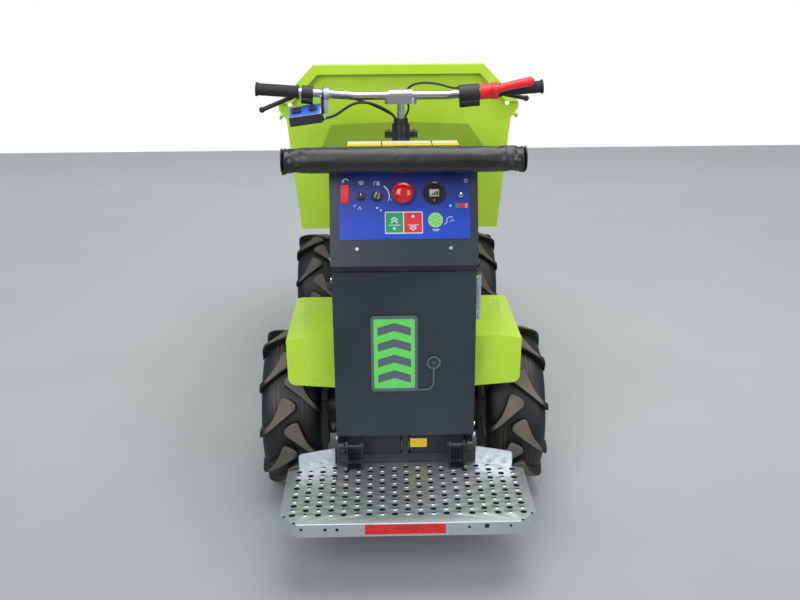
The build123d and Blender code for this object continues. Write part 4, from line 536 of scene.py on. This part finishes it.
# name, radius, outlet to boot in millimetres
cable_routes = [
    ("cable_switch_box", 3.5, [
        (-199.5, -476.0, 1078.6), (-177.7, -476.0, 1081.5), (-150, -471, 1101), (-121, -468, 1117),
        (-86, -466, 1117), (-56, -464, 1106), (-33, -462, 1092), (-18, -461, 1081), (-12.5, -461, 1068.6),
    ], 0.214),
    ("cable_left_lever", 3.0, [
        (-231.8, -439.3, 1143.6), (-221.9, -439.3, 1142.9), (-206, -431, 1138), (-165, -433, 1131),
        (-125, -440, 1124), (-88, -446, 1114), (-58, -448, 1101), (-35, -448, 1089), (-19, -447, 1080),
        (-12.5, -447, 1068.6),
    ], 0.239),
    ("cable_throttle", 3.0, [
        (153.8, -449.0, 1151.2), (137.9, -449.0, 1149.9), (112, -446, 1159), (74, -441, 1165),
        (38, -433, 1162), (16, -427, 1147), (14, -422, 1127), (21, -422, 1108), (22, -430, 1092),
        (15, -440, 1082), (10, -444, 1068.6),
    ], 0.233),
]
for name, radius, route, length in cable_routes:
    line = bpy.data.curves.new(name, "CURVE")
    line.dimensions = "3D"
    line.bevel_depth = radius * MM
    line.bevel_resolution = 4
    line.resolution_u = 10
    line.use_fill_caps = True
    spline = line.splines.new("NURBS")
    spline.points.add(len(route) - 1)
    for point, spot in zip(spline.points, route):
        point.co = (*(Vector(spot) * MM), 1)
    spline.order_u = 3
    spline.use_endpoint_u = True
    line.materials.append(SOFT_BLACK)
    cable = bpy.data.objects.new(name, line)
    scene.collection.objects.link(cable)
    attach(cable, "steering")
    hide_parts("cables")


# ---------------------------------------------------------------- tyres

TYRE_R = 228.0
TYRE_STEPS = 120         # sections round the carcass
LUG_COUNT = 10           # lugs on each side of a tyre
LUG_DRAFT = 3.5          # how much wider a lug is at its root, each side
LUG_EDGE = 2.5           # bevel round a lug's top
# carcass from the bead to the middle of the tread: across, radius
carcass_half = [
    (60, 102), (62.5, 105), (62.5, 116), (66, 123), (72, 134), (78, 147), (82, 160), (83.5, 172), (82, 184),
    (77, 194), (67, 201), (52, 205), (34, 206.5), (14, 207),
]
# lug from nose to tail: across, trailing edge, leading edge, top radius, root radius
lug_stations = [
    (-16.5, 28, 35, 222, 204), (-15, 25, 40, 226.5, 204), (-10, 21, 46.5, 228, 204), (-2, 14.5, 52, 228, 204),
    (7, 7.5, 57, 228, 204), (15, 0.5, 59.5, 228, 204), (20, -3.5, 59, 228, 204), (24, -7, 54, 228, 204),
    (28, -10, 43, 228, 204), (33, -14, 29, 228, 203.5),
    (39, -19.5, 14, 228, 203), (46, -25.5, -1, 227.5, 202),
    (54, -32.5, -13, 226.4, 200), (62, -39.5, -22.5, 225, 198),
    (70, -47, -29.5, 223, 194), (77, -53.5, -35, 220.5, 188),
    (82, -58, -39, 218, 183), (85, -60.5, -42, 214, 179), (86, -60, -43, 208, 178),
]


def on_tyre(middle, across, radius, turn):
    """Point of a wheel: across its width, out from its axle, turned from the top towards the rear."""
    return middle + Vector((across, -radius * sin(turn), radius * cos(turn))) * MM


def make_tyre(node, body, start):
    low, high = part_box(node)
    middle = (low + high) / 2
    bm = bmesh.new()
    profile = carcass_half + [(-x, r) for x, r in carcass_half[::-1]]
    rings = [
        [bm.verts.new(on_tyre(middle, x, r, 2 * pi * k / TYRE_STEPS)) for x, r in profile]
        for k in range(TYRE_STEPS)
    ]
    for k in range(TYRE_STEPS):
        ring, after = rings[k], rings[(k + 1) % TYRE_STEPS]
        for i in range(len(profile)):
            j = (i + 1) % len(profile)
            bm.faces.new((ring[i], ring[j], after[j], after[i]))
    for k in range(2 * LUG_COUNT):
        sx = 1 if k % 2 == 0 else -1
        pitch = radians(180 / LUG_COUNT * k + start)
        sections = []
        for across, trail, lead, top, root in lug_stations:
            edge = min(LUG_EDGE, (lead - trail) / 4)
            section = [
                (trail - LUG_DRAFT, root), (trail, top - edge), (trail + edge, top), (lead - edge, top),
                (lead, top - edge), (lead + LUG_DRAFT, root),
            ]
            sections.append([
                bm.verts.new(on_tyre(middle, sx * across, r, pitch - s / TYRE_R)) for s, r in section
            ])
        for section, after in zip(sections, sections[1:]):
            for i in range(6):
                j = (i + 1) % 6
                bm.faces.new((section[i], section[j], after[j], after[i]))
        bm.faces.new(sections[0])
        bm.faces.new(sections[-1][::-1])
    add_piece(f"{node}_tread", body, [tread_rubber(f"{node} rubber", middle)], bm, [node], 48)


for side in ("left", "right"):
    make_tyre(f"tyre_rear_{side}", f"wheel_rear_{side}", -15)
    make_tyre(f"tyre_front_{side}", f"wheel_front_{side}", 0)


# ---------------------------------------------------------------- platform plate

DECK_TOP = 200.0
DECK_T = 3.0
HOLE_R = 8.0             # punched holes
RAISED_R = 7.0           # foot of the pressed rings
HOLE_SIDES = 20
REAR_Y = -1044.8         # the tape on it stands 0.2 proud
deck_outline = [
    (-172, -735), (172, -735), (310, -785), (310, -1001), (266, REAR_Y), (-266, REAR_Y), (-310, -1001),
    (-310, -785),
]


def drawn_in(outline, distance):
    """Outline with every side moved in by a distance; its corners run clockwise from above."""
    made = []
    for k, corner in enumerate(outline):
        before, after = Vector(outline[k - 1]), Vector(outline[(k + 1) % len(outline)])
        corner = Vector(corner)
        first, second = (corner - before).normalized(), (after - corner).normalized()
        inward = Vector((first.y, -first.x)) + Vector((second.y, -second.x))
        made.append(tuple(corner + inward * (distance / (1 + first.dot(second)))))
    return made


def hole_grid(parity, margin):
    """Places of the sheet's holes: the even ones are punched through, the odd ones pressed up."""
    inner = drawn_in(deck_outline, margin)
    for i in range(19):
        for j in range(12):
            x, y = (i - 9) * 31, -1002 + 21 * j
            inside = all(
                (inner[(k + 1) % 8][0] - inner[k][0]) * (y - inner[k][1])
                - (inner[(k + 1) % 8][1] - inner[k][1]) * (x - inner[k][0]) < 0 for k in range(8)
            )
            if (i + j) % 2 == parity and inside:
                yield x, y


def make_deck():
    bm = bmesh.new()
    loops = [drawn_in(deck_outline, 3)]
    holes = [(x, y, HOLE_R) for x, y in hole_grid(0, 14)] + [(x, y, RAISED_R) for x, y in hole_grid(1, 16)]
    loops += [disc(x, y, radius, HOLE_SIDES) for x, y, radius in holes]
    points = [Vector(p) for loop in loops for p in loop]
    edges, start = [], 0
    for loop in loops:
        edges += [(start + k, start + (k + 1) % len(loop)) for k in range(len(loop))]
        start += len(loop)
    flat = delaunay_2d_cdt(points, edges, [], 0, 1e-4)
    corners = {}

    def corner(x, y, z):
        key = (round(x, 2), round(y, 2), round(z, 2))
        if key not in corners:
            corners[key] = bm.verts.new(Vector((x, y, z)) * MM)
        return corners[key]

    def join(outlines, shade_from=99, shade_to=99):
        """Walls between loops with as many corners, given as (points, height); some walls carry painted
        shade.
        """
        for i, ((near, near_z), (far, far_z)) in enumerate(zip(outlines, outlines[1:])):
            for k in range(len(near)):
                after = (k + 1) % len(near)
                wall = bm.faces.new((
                    corner(*near[k], near_z), corner(*near[after], near_z), corner(*far[after], far_z),
                    corner(*far[k], far_z),
                ))
                wall.material_index = int(shade_from <= i < shade_to)

    for face in flat[2]:
        spots = [flat[0][k] for k in face]
        mid = sum(spots, Vector((0, 0))) / 3
        if all(hypot(mid.x - x, mid.y - y) > radius for x, y, radius in holes):
            bm.faces.new([corner(*spot, DECK_TOP) for spot in spots])
            bm.faces.new([corner(*spot, DECK_TOP - DECK_T) for spot in spots[::-1]])
    # the walls inside the holes carry painted shade, so the holes read dark
    for x, y, radius in holes:
        if radius == HOLE_R:
            join([
                (disc(x, y, r, HOLE_SIDES), z)
                for r, z in ((8, 200), (7.6, 199.2), (7.3, 190), (7.7, 190), (8, 197))
            ], 1, 3)
        else:
            join([
                (disc(x, y, r, HOLE_SIDES), z) for r, z in (
                    (7, 200), (6.2, 200.4), (5.2, 201.7), (4.7, 202), (4.2, 201.8), (3.9, 200), (3.8, 192),
                    (4.2, 192), (4.6, 198), (7, 197),
                )
            ], 4, 7)
    join([
        (drawn_in(deck_outline, inset), z) for inset, z in (
            (3, 200), (1.5, 199.6), (0.4, 198.5), (0, 197), (0, 165.4), (0.4, 165), (2.6, 165), (3, 165.4),
            (3, 197),
        )
    ])
    add_piece("deck_plate", "platform", [ZINC, HOLE_SHADE], bm, ["deck"], 30)


make_deck()

deck_rear = Face((0, REAR_Y, 0))
# painted shade: near-black discs stand in for the holes in the deck's flange and top
bm = bmesh.new()
plate(bm, deck_rear, rounded(-103.5, 170.8, 88.5, 197, 1.5), -1, 0.2)
add_piece("reflective_tape", "platform", [REFLECTOR], bm)
bm = bmesh.new()
for x, z, radius in (
    (-254.5, 186.5, 3.6), (-197.8, 185.4, 4.2), (-169.5, 184.8, 4.2), (144.4, 186.7, 3.4),
    (242.9, 188.8, 3.4),
):
    plate(bm, deck_rear, disc(x, z, radius), -1, 0.15)
plate(bm, deck_rear, rounded(180.5, 183.4, 191.5, 194.4, 1.5), -1, 0.15)
for sx in (-1, 1):
    for x, y in ((298, -1009), (272, -1037)):
        plate(bm, Face((sx * x, y, 199.9), (1, 0, 0), (0, 1, 0)), disc(0, 0, 3.4), -1, 0.2)
add_piece("deck_flange_hole_shade", "platform", [HOLE_SHADE], bm)


# ---------------------------------------------------------------- bump pad


PAD_SIDES = 32
PAD_STATIONS = 72
PAD_CAP = 0.0045         # farthest that the cloth run may carry a point, metres
PAD_STEPS = 20           # frames of the cloth run


def make_pad():
    """Stuffed vinyl roll: blown up as cloth, then held to a few millimetres of its start."""
    low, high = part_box("bump_pad")
    middle = (low + high) / 2
    radius = (high.z - low.z) / 2
    half = (high.x - low.x) / 2
    bm = bmesh.new()
    rings = []
    for i in range(PAD_STATIONS + 1):
        x = -half + 2 * half * i / PAD_STATIONS
        end = min(1, (half - abs(x)) / 0.012)
        reach = radius * (0.925 + 0.04 * end ** 0.5)
        turns = [2 * pi * k / PAD_SIDES for k in range(PAD_SIDES)]
        rings.append([
            bm.verts.new(middle + Vector((x * 0.985, reach * cos(turn), reach * sin(turn)))) for turn in turns
        ])
    for ring, after in zip(rings, rings[1:]):
        for k in range(PAD_SIDES):
            j = (k + 1) % PAD_SIDES
            bm.faces.new((ring[k], ring[j], after[j], after[k]))
    bm.faces.new(rings[0][::-1])
    bm.faces.new(rings[-1])
    bmesh.ops.recalc_face_normals(bm, faces=bm.faces[:])
    start = bpy.data.meshes.new("pad_start")
    bm.to_mesh(start)
    bm.free()
    worker = bpy.data.objects.new("pad_worker", start)
    scene.collection.objects.link(worker)
    remesh = worker.modifiers.new("remesh", "REMESH")
    remesh.mode = "VOXEL"
    remesh.voxel_size = 0.005
    shape = settled(worker)
    worker.modifiers.clear()
    worker.data = shape
    begin = [v.co.copy() for v in shape.vertices]
    grip = worker.vertex_groups.new(name="ends")
    held = [v.index for v in shape.vertices if abs(v.co.x - middle.x) > half * 0.985 - 0.004]
    grip.add(held, 1.0, "REPLACE")
    cloth = worker.modifiers.new("cloth", "CLOTH")
    cloth.settings.quality = 8
    cloth.settings.use_pressure = True
    cloth.settings.uniform_pressure_force = 4
    cloth.settings.effector_weights.gravity = 0
    cloth.settings.tension_stiffness = 15
    cloth.settings.bending_stiffness = 0.4
    cloth.settings.shrink_min = -0.06
    cloth.settings.vertex_group_mass = "ends"
    cloth.point_cache.frame_start = 1
    cloth.point_cache.frame_end = PAD_STEPS
    for step in range(1, PAD_STEPS + 1):
        scene.frame_set(step)
    blown = settled(worker)
    worker.modifiers.clear()
    scene.frame_set(1)
    worker.data = blown
    for v, was in zip(worker.data.vertices, begin):
        move = v.co - was
        if move.length > PAD_CAP:
            v.co = was + move * (PAD_CAP / move.length)
        v.co.x = max(low.x, min(high.x, v.co.x))
        out = Vector((0, v.co.y - middle.y, v.co.z - middle.z))
        if out.length > radius:
            v.co -= out * (1 - radius / out.length)
    smooth = worker.modifiers.new("smooth", "SUBSURF")
    smooth.levels = 1
    smooth.render_levels = 1
    final = settled(worker)
    bpy.data.objects.remove(worker)
    final.name = "bump_pad_cover"
    final.materials.clear()
    pad = add_piece("bump_pad_cover", "chassis", [VINYL], final, ["bump_pad"], 60)
    # sewn rim at each end, and the cover's loose corners under it
    bm = bmesh.new()
    for sx in (-1, 1):
        end_x = (middle.x + sx * half) / MM
        ring_at = Vector((end_x - sx * 3.5, middle.y / MM, middle.z / MM))
        reach = radius / MM
        turned(bm, ring_at, (sx, 0, 0), [
            (reach - 4.5, 0), (reach - 2.4, 0), (reach - 1.6, 0.8), (reach - 1.6, 2.4),
            (reach - 2.6, 3.2), (reach - 5, 3.4),
        ], 40)
        hem = Face((end_x, middle.y / MM, middle.z / MM), (sx, 0, 0), (0, 0, 1))
        plate(bm, hem, [
            (-16, -reach + 5), (-3, -reach + 5), (-1, -reach - 0.4), (-9, -reach + 0.6),
        ], -12, -10.5)
        plate(bm, hem, [(-20, -reach + 4), (-2, -reach + 4), (-3.5, -reach), (-15, -reach + 0.4)], 6, 7.5)
    add_piece("bump_pad_hems", "chassis", [VINYL], bm, (), 40)


def settled(worker):
    """The mesh of an object with its modifiers applied."""
    bpy.context.view_layer.update()
    seen = bpy.context.evaluated_depsgraph_get()
    return bpy.data.meshes.new_from_object(worker.evaluated_get(seen))


make_pad()


# ---------------------------------------------------------------- console print and small controls

fascia = Face((0, -794.468, 759.819), (1, 0, 0), (0, 0.314915, 0.94912))
PRINT = 0.12             # thickness of printed marks
bm = bmesh.new()
icon_strokes = [
    (arc(-140.9, 206, 7, 20, 200), 1.8), ([(-150, 209), (-147.5, 203.5), (-143.5, 207.5)], 1.4),
    ([(-72, 197), (-72, 205), (-64.5, 205), (-64.5, 197)], 1.3), ([(-60.5, 196), (-60.5, 206)], 2.0),
    ([(-108, 199), (-108, 207), (-99, 207), (-99, 199)], 1.3), ([(-103.5, 198), (-103.5, 204)], 2.0),
    ([(-122, 145), (-116, 150)], 1.5), ([(-111, 138), (-107, 146), (-103, 138)], 1.8),
    ([(-67, 142), (-62, 142)], 3.5), ([(-58, 134), (-54, 138)], 2.5),
    (arc(-65, 170, 30, 55, -8), 2.6), ([(-38.5, 158), (-35.4, 166), (-30.5, 160)], 1.6),
    ([(110.5, 145.5), (117, 145.5)], 2.2), ([(113.7, 142.4), (113.7, 148.6)], 2.2),
    ([(97.5, 100), (104, 104), (105, 114), (112, 119), (119, 117)], 1.6),
    ([(113, 106), (118, 112), (123, 108)], 1.4), ([(69, 88), (86, 88)], 2.0), ([(71, 84.6), (84, 84.6)], 1.2),
    (arc(152, 206, 4, 0, 350, 16), 0.9),
]
for points, width in icon_strokes:
    plate(bm, fascia, stroke(points, width), -0.02, PRINT)
for x in (125.5, 133.3, 141.1, 148.9):
    plate(bm, fascia, rounded(x, 139.8, x + 6.6, 151.4, 0.8), -0.02, PRINT, 1 + int(x > 130) + int(x > 145))
add_piece("console_marks", "chassis", [WHITE_INK, GREEN_INK, RED_INK, ORANGE_INK], bm)

bm = bmesh.new()
plate(bm, fascia, rounded(-46.5, 78.5, 45.8, 132.2, 1.5), -0.02, PRINT)
plate(bm, fascia, rounded(-44.6, 81.5, -2.6, 130.2, 1), 0, PRINT * 2, 1)
plate(bm, fascia, rounded(0.4, 81.0, 43.6, 129.8, 1), 0, PRINT * 2, 2)
for x, turn in ((-23.6, 1), (22, -1)):
    middle_up = 105.5
    plate(bm, fascia, stroke([(x - 14, middle_up - 6), (x + 14, middle_up - 6)], 1.6), 0.1, PRINT * 3)
    for k in range(2):
        up = middle_up + turn * (6 + 7 * k) - 3
        chevron = [(x - 8, up - turn * 4), (x, up + turn * 3), (x + 8, up - turn * 4)]
        plate(bm, fascia, stroke(chevron, 3.2), 0.1, PRINT * 3)
    plate(bm, fascia, disc(x, middle_up - 14 if turn > 0 else middle_up + 15, 3.6), 0.1, PRINT * 3)
add_piece("console_stickers", "chassis", [WHITE_INK, GREEN_INK, RED_INK], bm)

bm = bmesh.new()
plate(bm, fascia, disc(76.7, 110.9, 18.2, 40), -0.02, PRINT)
for k in range(8):
    turn = 2 * pi * k / 8
    plate(bm, fascia, stroke(
        [(76.7 + 4 * cos(turn), 110.9 + 4 * sin(turn)), (76.7 + 15 * cos(turn), 110.9 + 15 * sin(turn))], 1.3,
    ), 0, PRINT * 2, 1)
add_piece("console_disc", "chassis", [PALE_GREEN_INK, GREEN_INK], bm)

bm = bmesh.new()
plate(bm, fascia, rounded(60, 165, 88, 187.5, 1.5), 7.9, 8.5)
plate(bm, fascia, rounded(62.5, 167.5, 85.5, 185, 1), 8.4, 8.7, 1)
for k in range(5):
    plate(bm, fascia, rounded(64 + 4.2 * k, 170, 67 + 4.2 * k, 172 + 2.4 * k, 0.3), 8.6, 8.8, 0)
plate(bm, fascia, disc(74, 158.5, 1.8, 16), 7.9, 8.8, 2)
add_piece("gauge_display", "chassis", [GLASS_BLACK, DISPLAY, ORANGE_INK], bm)

bm = bmesh.new()
turned(bm, fascia.place(-65, 170, 6.8) / MM, fascia.out, [
    (7.6, 0), (7.6, 1.4), (6.8, 2.0), (4.6, 2.0), (4.4, 1.2), (0.5, 1.2),
], 32)
plate(bm, fascia, rounded(-66.2, 164, -63.8, 176, 0.8), 7.6, 13)
turned(bm, fascia.place(138, 170, 9.9) / MM, fascia.out, [
    (3, 0), (3, 1.0), (2.2, 1.5), (0.3, 1.6),
], 24, 1)
plate(bm, fascia, rounded(-104.8, 170, -103.2, 177, 0.5), 13.6, 14.6, 2)
add_piece("key_and_markers", "chassis", [CHROME, GREEN_INK, WHITE_INK], bm)

# domed stop button
bm = bmesh.new()
turned(bm, fascia.place(-2, 176) / MM, fascia.out, [
    (19, 0), (19, 11.6), (23.6, 12.4), (25.6, 14.6), (26, 17.5), (25.4, 20.5), (23.6, 23.8),
    (20.8, 26.8), (16.8, 29.3), (12, 31), (6.5, 31.8), (1, 32),
], 48)
add_piece("stop_button_dome", "chassis", [RED_GLOSS], bm, ["stop_button"], 45)

# face plate of the switch box, round its two keys
lean_out = (0.991445, 0, 0.130526)
switch_top = Face((-253.57, -476, 1098.7), lean_out, (-0.0509, 0.9209, 0.3863))
bm = bmesh.new()
plate(bm, switch_top, rounded(-43, -28, 43, 28, 4), 0.02, 0.2)
plate(bm, switch_top, rounded(-39.5, -24.5, 39.5, 24.5, 3), 0.1, 0.27, 1)
add_piece("switch_plate", "steering", [BRIGHT_EDGE, BLUE_BOX], bm)

# ---------------------------------------------------------------- decals and labels

door_face = Face((0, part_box("rear_door")[0].y / MM, 0))
INK = 0.15               # thickness of a film
bm = bmesh.new()
plate(bm, door_face, rounded(-86.5, 412, 33.5, 619, 9), -0.02, INK)
plate(bm, door_face, rounded(-79, 421, 25.5, 610, 5), 0, INK * 2, 1)
for k in range(4):
    up = 436 + 43 * k
    plate(bm, door_face, [
        (-69, up), (-26.8, up + 13), (15.5, up), (15.5, up + 22), (-26.8, up + 35), (-69, up + 22),
    ], 0.2, INK * 3, 0)
plate(bm, door_face, stroke([
    (33, 415.5), (56, 415.5), (66, 419), (72, 427), (74, 437), (74, 462),
], 4.5), -0.02, INK)
plate(bm, door_face, disc(74, 490, 18, 32), -0.02, INK)
plate(bm, door_face, disc(74, 490, 13.5, 32), 0, INK * 2, 2)
plate(bm, door_face, stroke([(74, 462), (74, 473)], 4.5), -0.02, INK)
plate(bm, door_face, stroke([(69, 490), (79, 490)], 4), 0.2, INK * 3)
plate(bm, door_face, stroke([(74, 485), (74, 495)], 4), 0.2, INK * 3)
add_piece("door_decal", "rear_door", [GREY_INK, GREEN_FILM, ANTHRACITE], bm, (), 35)

hood_face = Face((0, 0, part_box("hood_top")[1].z / MM), (1, 0, 0), (0, 1, 0))
bm = bmesh.new()
plate(bm, hood_face, rounded(-141, -668, 144, -584, 3), -0.02, INK)
for left, right in ((-138.5, -54), (-51, 72), (75, 141)):
    for low_y, high_y in ((-665, -634), (-631, -587)):
        plate(bm, hood_face, rounded(left, low_y, right, high_y, 2), 0, INK * 2, 1 + int(high_y > -600))
add_piece("hood_strip", "chassis", [DARK_INK, YELLOW_INK, PALE_INK], bm)

battery_face = Face((0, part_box("batteries")[0].y / MM, 0))
bm = bmesh.new()
plate(bm, battery_face, rounded(10, 239.5, 60.5, 271, 1.5), -0.02, INK)
plate(bm, battery_face, rounded(13, 242.5, 57.5, 268, 1), 0, INK * 1.5, 1)
add_piece("battery_label", "chassis", [DARK_INK, YELLOW_INK], bm)


# ---------------------------------------------------------------- bolts, nuts and screws

FACING = "facing"        # attribute that holds the way a head points


def node_in(tree, kind, values=(), **settings):
    """Makes one geometry node; sockets that hold a link are given as sockets."""
    made = tree.nodes.new(kind)
    for setting, value in settings.items():
        setattr(made, setting, value)
    for key, value in dict(values).items():
        if isinstance(value, bpy.types.NodeSocket):
            tree.links.new(value, made.inputs[key])
        else:
            made.inputs[key].default_value = value
    return made


def head_nodes():
    """Stands a six-sided or round head with a washer on every point, along its facing."""
    tree = bpy.data.node_groups.new("heads on points", "GeometryNodeTree")
    tree.interface.new_socket("Geometry", in_out="INPUT", socket_type="NodeSocketGeometry")
    for label in ("Radius", "Height"):
        tree.interface.new_socket(label, in_out="INPUT", socket_type="NodeSocketFloat")
    tree.interface.new_socket("Sides", in_out="INPUT", socket_type="NodeSocketInt")
    tree.interface.new_socket("Finish", in_out="INPUT", socket_type="NodeSocketMaterial")
    tree.interface.new_socket("Geometry", in_out="OUTPUT", socket_type="NodeSocketGeometry")
    given = tree.nodes.new("NodeGroupInput").outputs
    half = node_in(tree, "ShaderNodeMath", {0: given["Height"], 1: 0.5}, operation="MULTIPLY").outputs[0]
    wide = node_in(tree, "ShaderNodeMath", {0: given["Radius"], 1: 1.35}, operation="MULTIPLY").outputs[0]
    thin = node_in(tree, "ShaderNodeMath", {0: given["Height"], 1: 0.45}, operation="MULTIPLY").outputs[0]
    lift = node_in(tree, "ShaderNodeCombineXYZ", {"Z": half}).outputs[0]
    head = node_in(tree, "GeometryNodeMeshCylinder", {
        "Vertices": given["Sides"], "Radius": given["Radius"], "Depth": given["Height"],
    }).outputs["Mesh"]
    head = node_in(tree, "GeometryNodeTransform", {"Geometry": head, "Translation": lift}).outputs[0]
    washer = node_in(tree, "GeometryNodeMeshCylinder", {
        "Vertices": 24, "Radius": wide, "Depth": thin,
    }).outputs["Mesh"]
    both = node_in(tree, "GeometryNodeJoinGeometry")
    tree.links.new(head, both.inputs[0])
    tree.links.new(washer, both.inputs[0])
    facing = node_in(
        tree, "GeometryNodeInputNamedAttribute", {"Name": FACING}, data_type="FLOAT_VECTOR",
    ).outputs[0]
    turn = node_in(tree, "FunctionNodeAlignRotationToVector", {"Vector": facing}, axis="Z").outputs[0]
    points = node_in(tree, "GeometryNodeMeshToPoints", {"Mesh": given["Geometry"]}).outputs[0]
    set_on = node_in(tree, "GeometryNodeInstanceOnPoints", {
        "Points": points, "Instance": both.outputs[0], "Rotation": turn,
    }).outputs[0]
    real = node_in(tree, "GeometryNodeRealizeInstances", {"Geometry": set_on}).outputs[0]
    done = node_in(tree, "GeometryNodeSetMaterial", {
        "Geometry": real, "Material": given["Finish"],
    }).outputs[0]
    tree.links.new(done, tree.nodes.new("NodeGroupOutput").inputs[0])
    return tree


heads_on_points = head_nodes()


def heads(name, body, finish, radius, height, sides, spots):
    """Heads at spots given as (place, facing) in millimetres, one mesh for the body."""
    points = bpy.data.meshes.new(name)
    points.from_pydata([Vector(place) * MM for place, _ in spots], [], [])
    facing = points.attributes.new(FACING, "FLOAT_VECTOR", "POINT")
    for k, (_, way) in enumerate(spots):
        facing.data[k].vector = way
    worker = bpy.data.objects.new(name, points)
    scene.collection.objects.link(worker)
    stand = worker.modifiers.new("heads", "NODES")
    stand.node_group = heads_on_points
    given = {"Radius": radius * MM, "Height": height * MM, "Sides": sides, "Finish": finish}
    for item in heads_on_points.interface.items_tree:
        if item.in_out == "INPUT" and item.name in given:
            stand[item.identifier] = given[item.name]
    shape = settled(worker)
    worker.modifiers.clear()
    bpy.data.objects.remove(worker)
    shape.name = name
    shape.materials.clear()
    add_piece(name, body, [finish], shape, (), 30)


heads("side_bolts", "chassis", ZINC_PLATE, 5.5, 3.5, 6, [
    ((side * 181, -738, z), (side, 0, 0)) for side, z in (
        (-1, 761), (-1, 709), (-1, 308), (-1, 273), (1, 758), (1, 307), (1, 275),
    )
])
heads("console_screws", "chassis", ZINC_PLATE, 3.2, 1.6, 20, [
    (fascia.place(x, 42.5, 0.1) / MM, fascia.out) for x in (-115.1, 113.5)
])
heads("bearing_bolts", "chassis", CHASSIS_PAINT, 5, 4, 6, [
    ((x, y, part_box("column_bearing")[0].z / MM + 4), (0, 0, 1)) for x in (-34, 34) for y in (-468, -440)
])


# ---------------------------------------------------------------- camera, floor and light

camera_data = bpy.data.cameras.new("camera")
camera_data.lens = 40.934
camera_data.sensor_width = 36.0
camera = bpy.data.objects.new("camera", camera_data)
scene.collection.objects.link(camera)
yaw, pitch, roll = 0.0169, 0.3191, 0.008
right = Vector((cos(yaw), -sin(yaw), 0))
up = Vector((sin(yaw) * sin(pitch), cos(yaw) * sin(pitch), cos(pitch)))
forward = Vector((sin(yaw) * cos(pitch), cos(yaw) * cos(pitch), -sin(pitch)))
turned_right = right * cos(roll) - up * sin(roll)
turned_up = up * cos(roll) + right * sin(roll)
camera.matrix_world = Matrix.Translation((-0.0478, -2.9202, 1.3753)) @ Matrix(
    (turned_right, turned_up, -forward)
).transposed().to_4x4()
scene.camera = camera

floor_mesh = bpy.data.meshes.new("floor")
floor_mesh.from_pydata([(-9, -9, 0), (9, -9, 0), (9, 5.9, 0), (-9, 5.9, 0)], [], [(0, 1, 2, 3)])
floor = bpy.data.objects.new("floor", floor_mesh)
scene.collection.objects.link(floor)
floor_finish = Finish("pale studio floor with painted falloff", (0.5, 0.5, 0.5, 1), 0.5)
cloud = floor_finish.noise(2, 5)
# painted light falloff: the floor's colour is darker near the machine and paler far off
shaded_near_floor = floor_finish.mix(cloud, (0.22, 0.24, 0.25, 1), (0.28, 0.30, 0.31, 1))
lit_far_floor = floor_finish.mix(cloud, (0.84, 0.87, 0.88, 1), (0.94, 0.96, 0.97, 1))
distance = floor_finish.ramp((floor_finish.axis("Y") + 2.0) / 6.0, (0.0, 0), (1.0, 1))
floor_finish.set("Base Color", floor_finish.mix(distance, shaded_near_floor, lit_far_floor))
floor_mesh.materials.append(floor_finish.material)

world = bpy.data.worlds.new("studio")
scene.world = world
world.use_nodes = True
sky = world.node_tree
sky.nodes.clear()
path = sky.nodes.new("ShaderNodeLightPath")
soft, plain, blend_sky, out = (
    sky.nodes.new(kind) for kind in (
        "ShaderNodeBackground", "ShaderNodeBackground", "ShaderNodeMixShader", "ShaderNodeOutputWorld",
    )
)
soft.inputs["Color"].default_value = (0.93, 0.96, 1.0, 1)
soft.inputs["Strength"].default_value = 0.42
plain.inputs["Color"].default_value = (1, 1, 1, 1)
plain.inputs["Strength"].default_value = 1.0
sky.links.new(path.outputs["Is Camera Ray"], blend_sky.inputs[0])
sky.links.new(soft.outputs[0], blend_sky.inputs[1])
sky.links.new(plain.outputs[0], blend_sky.inputs[2])
sky.links.new(blend_sky.outputs[0], out.inputs["Surface"])

# lamps: name, place, aim, size across, watts
lamps = [
    ("overhead", (0.4, -0.6, 3.6), (0, 0, 0.5), 2.8, 95),
    ("front key", (-1.6, -3.6, 2.6), (0, -0.4, 0.6), 2.0, 66),
    ("front fill", (2.2, -3.2, 1.8), (0, -0.4, 0.6), 2.0, 34),
]
for name, place, aim, size, watts in lamps:
    lamp_data = bpy.data.lights.new(name, "AREA")
    lamp_data.size = size
    lamp_data.energy = watts
    lamp = bpy.data.objects.new(name, lamp_data)
    scene.collection.objects.link(lamp)
    lamp.matrix_world = Matrix.Translation(place) @ (
        Vector(aim) - Vector(place)
    ).to_track_quat("-Z", "Y").to_matrix().to_4x4()

scene.view_settings.view_transform = "Standard"
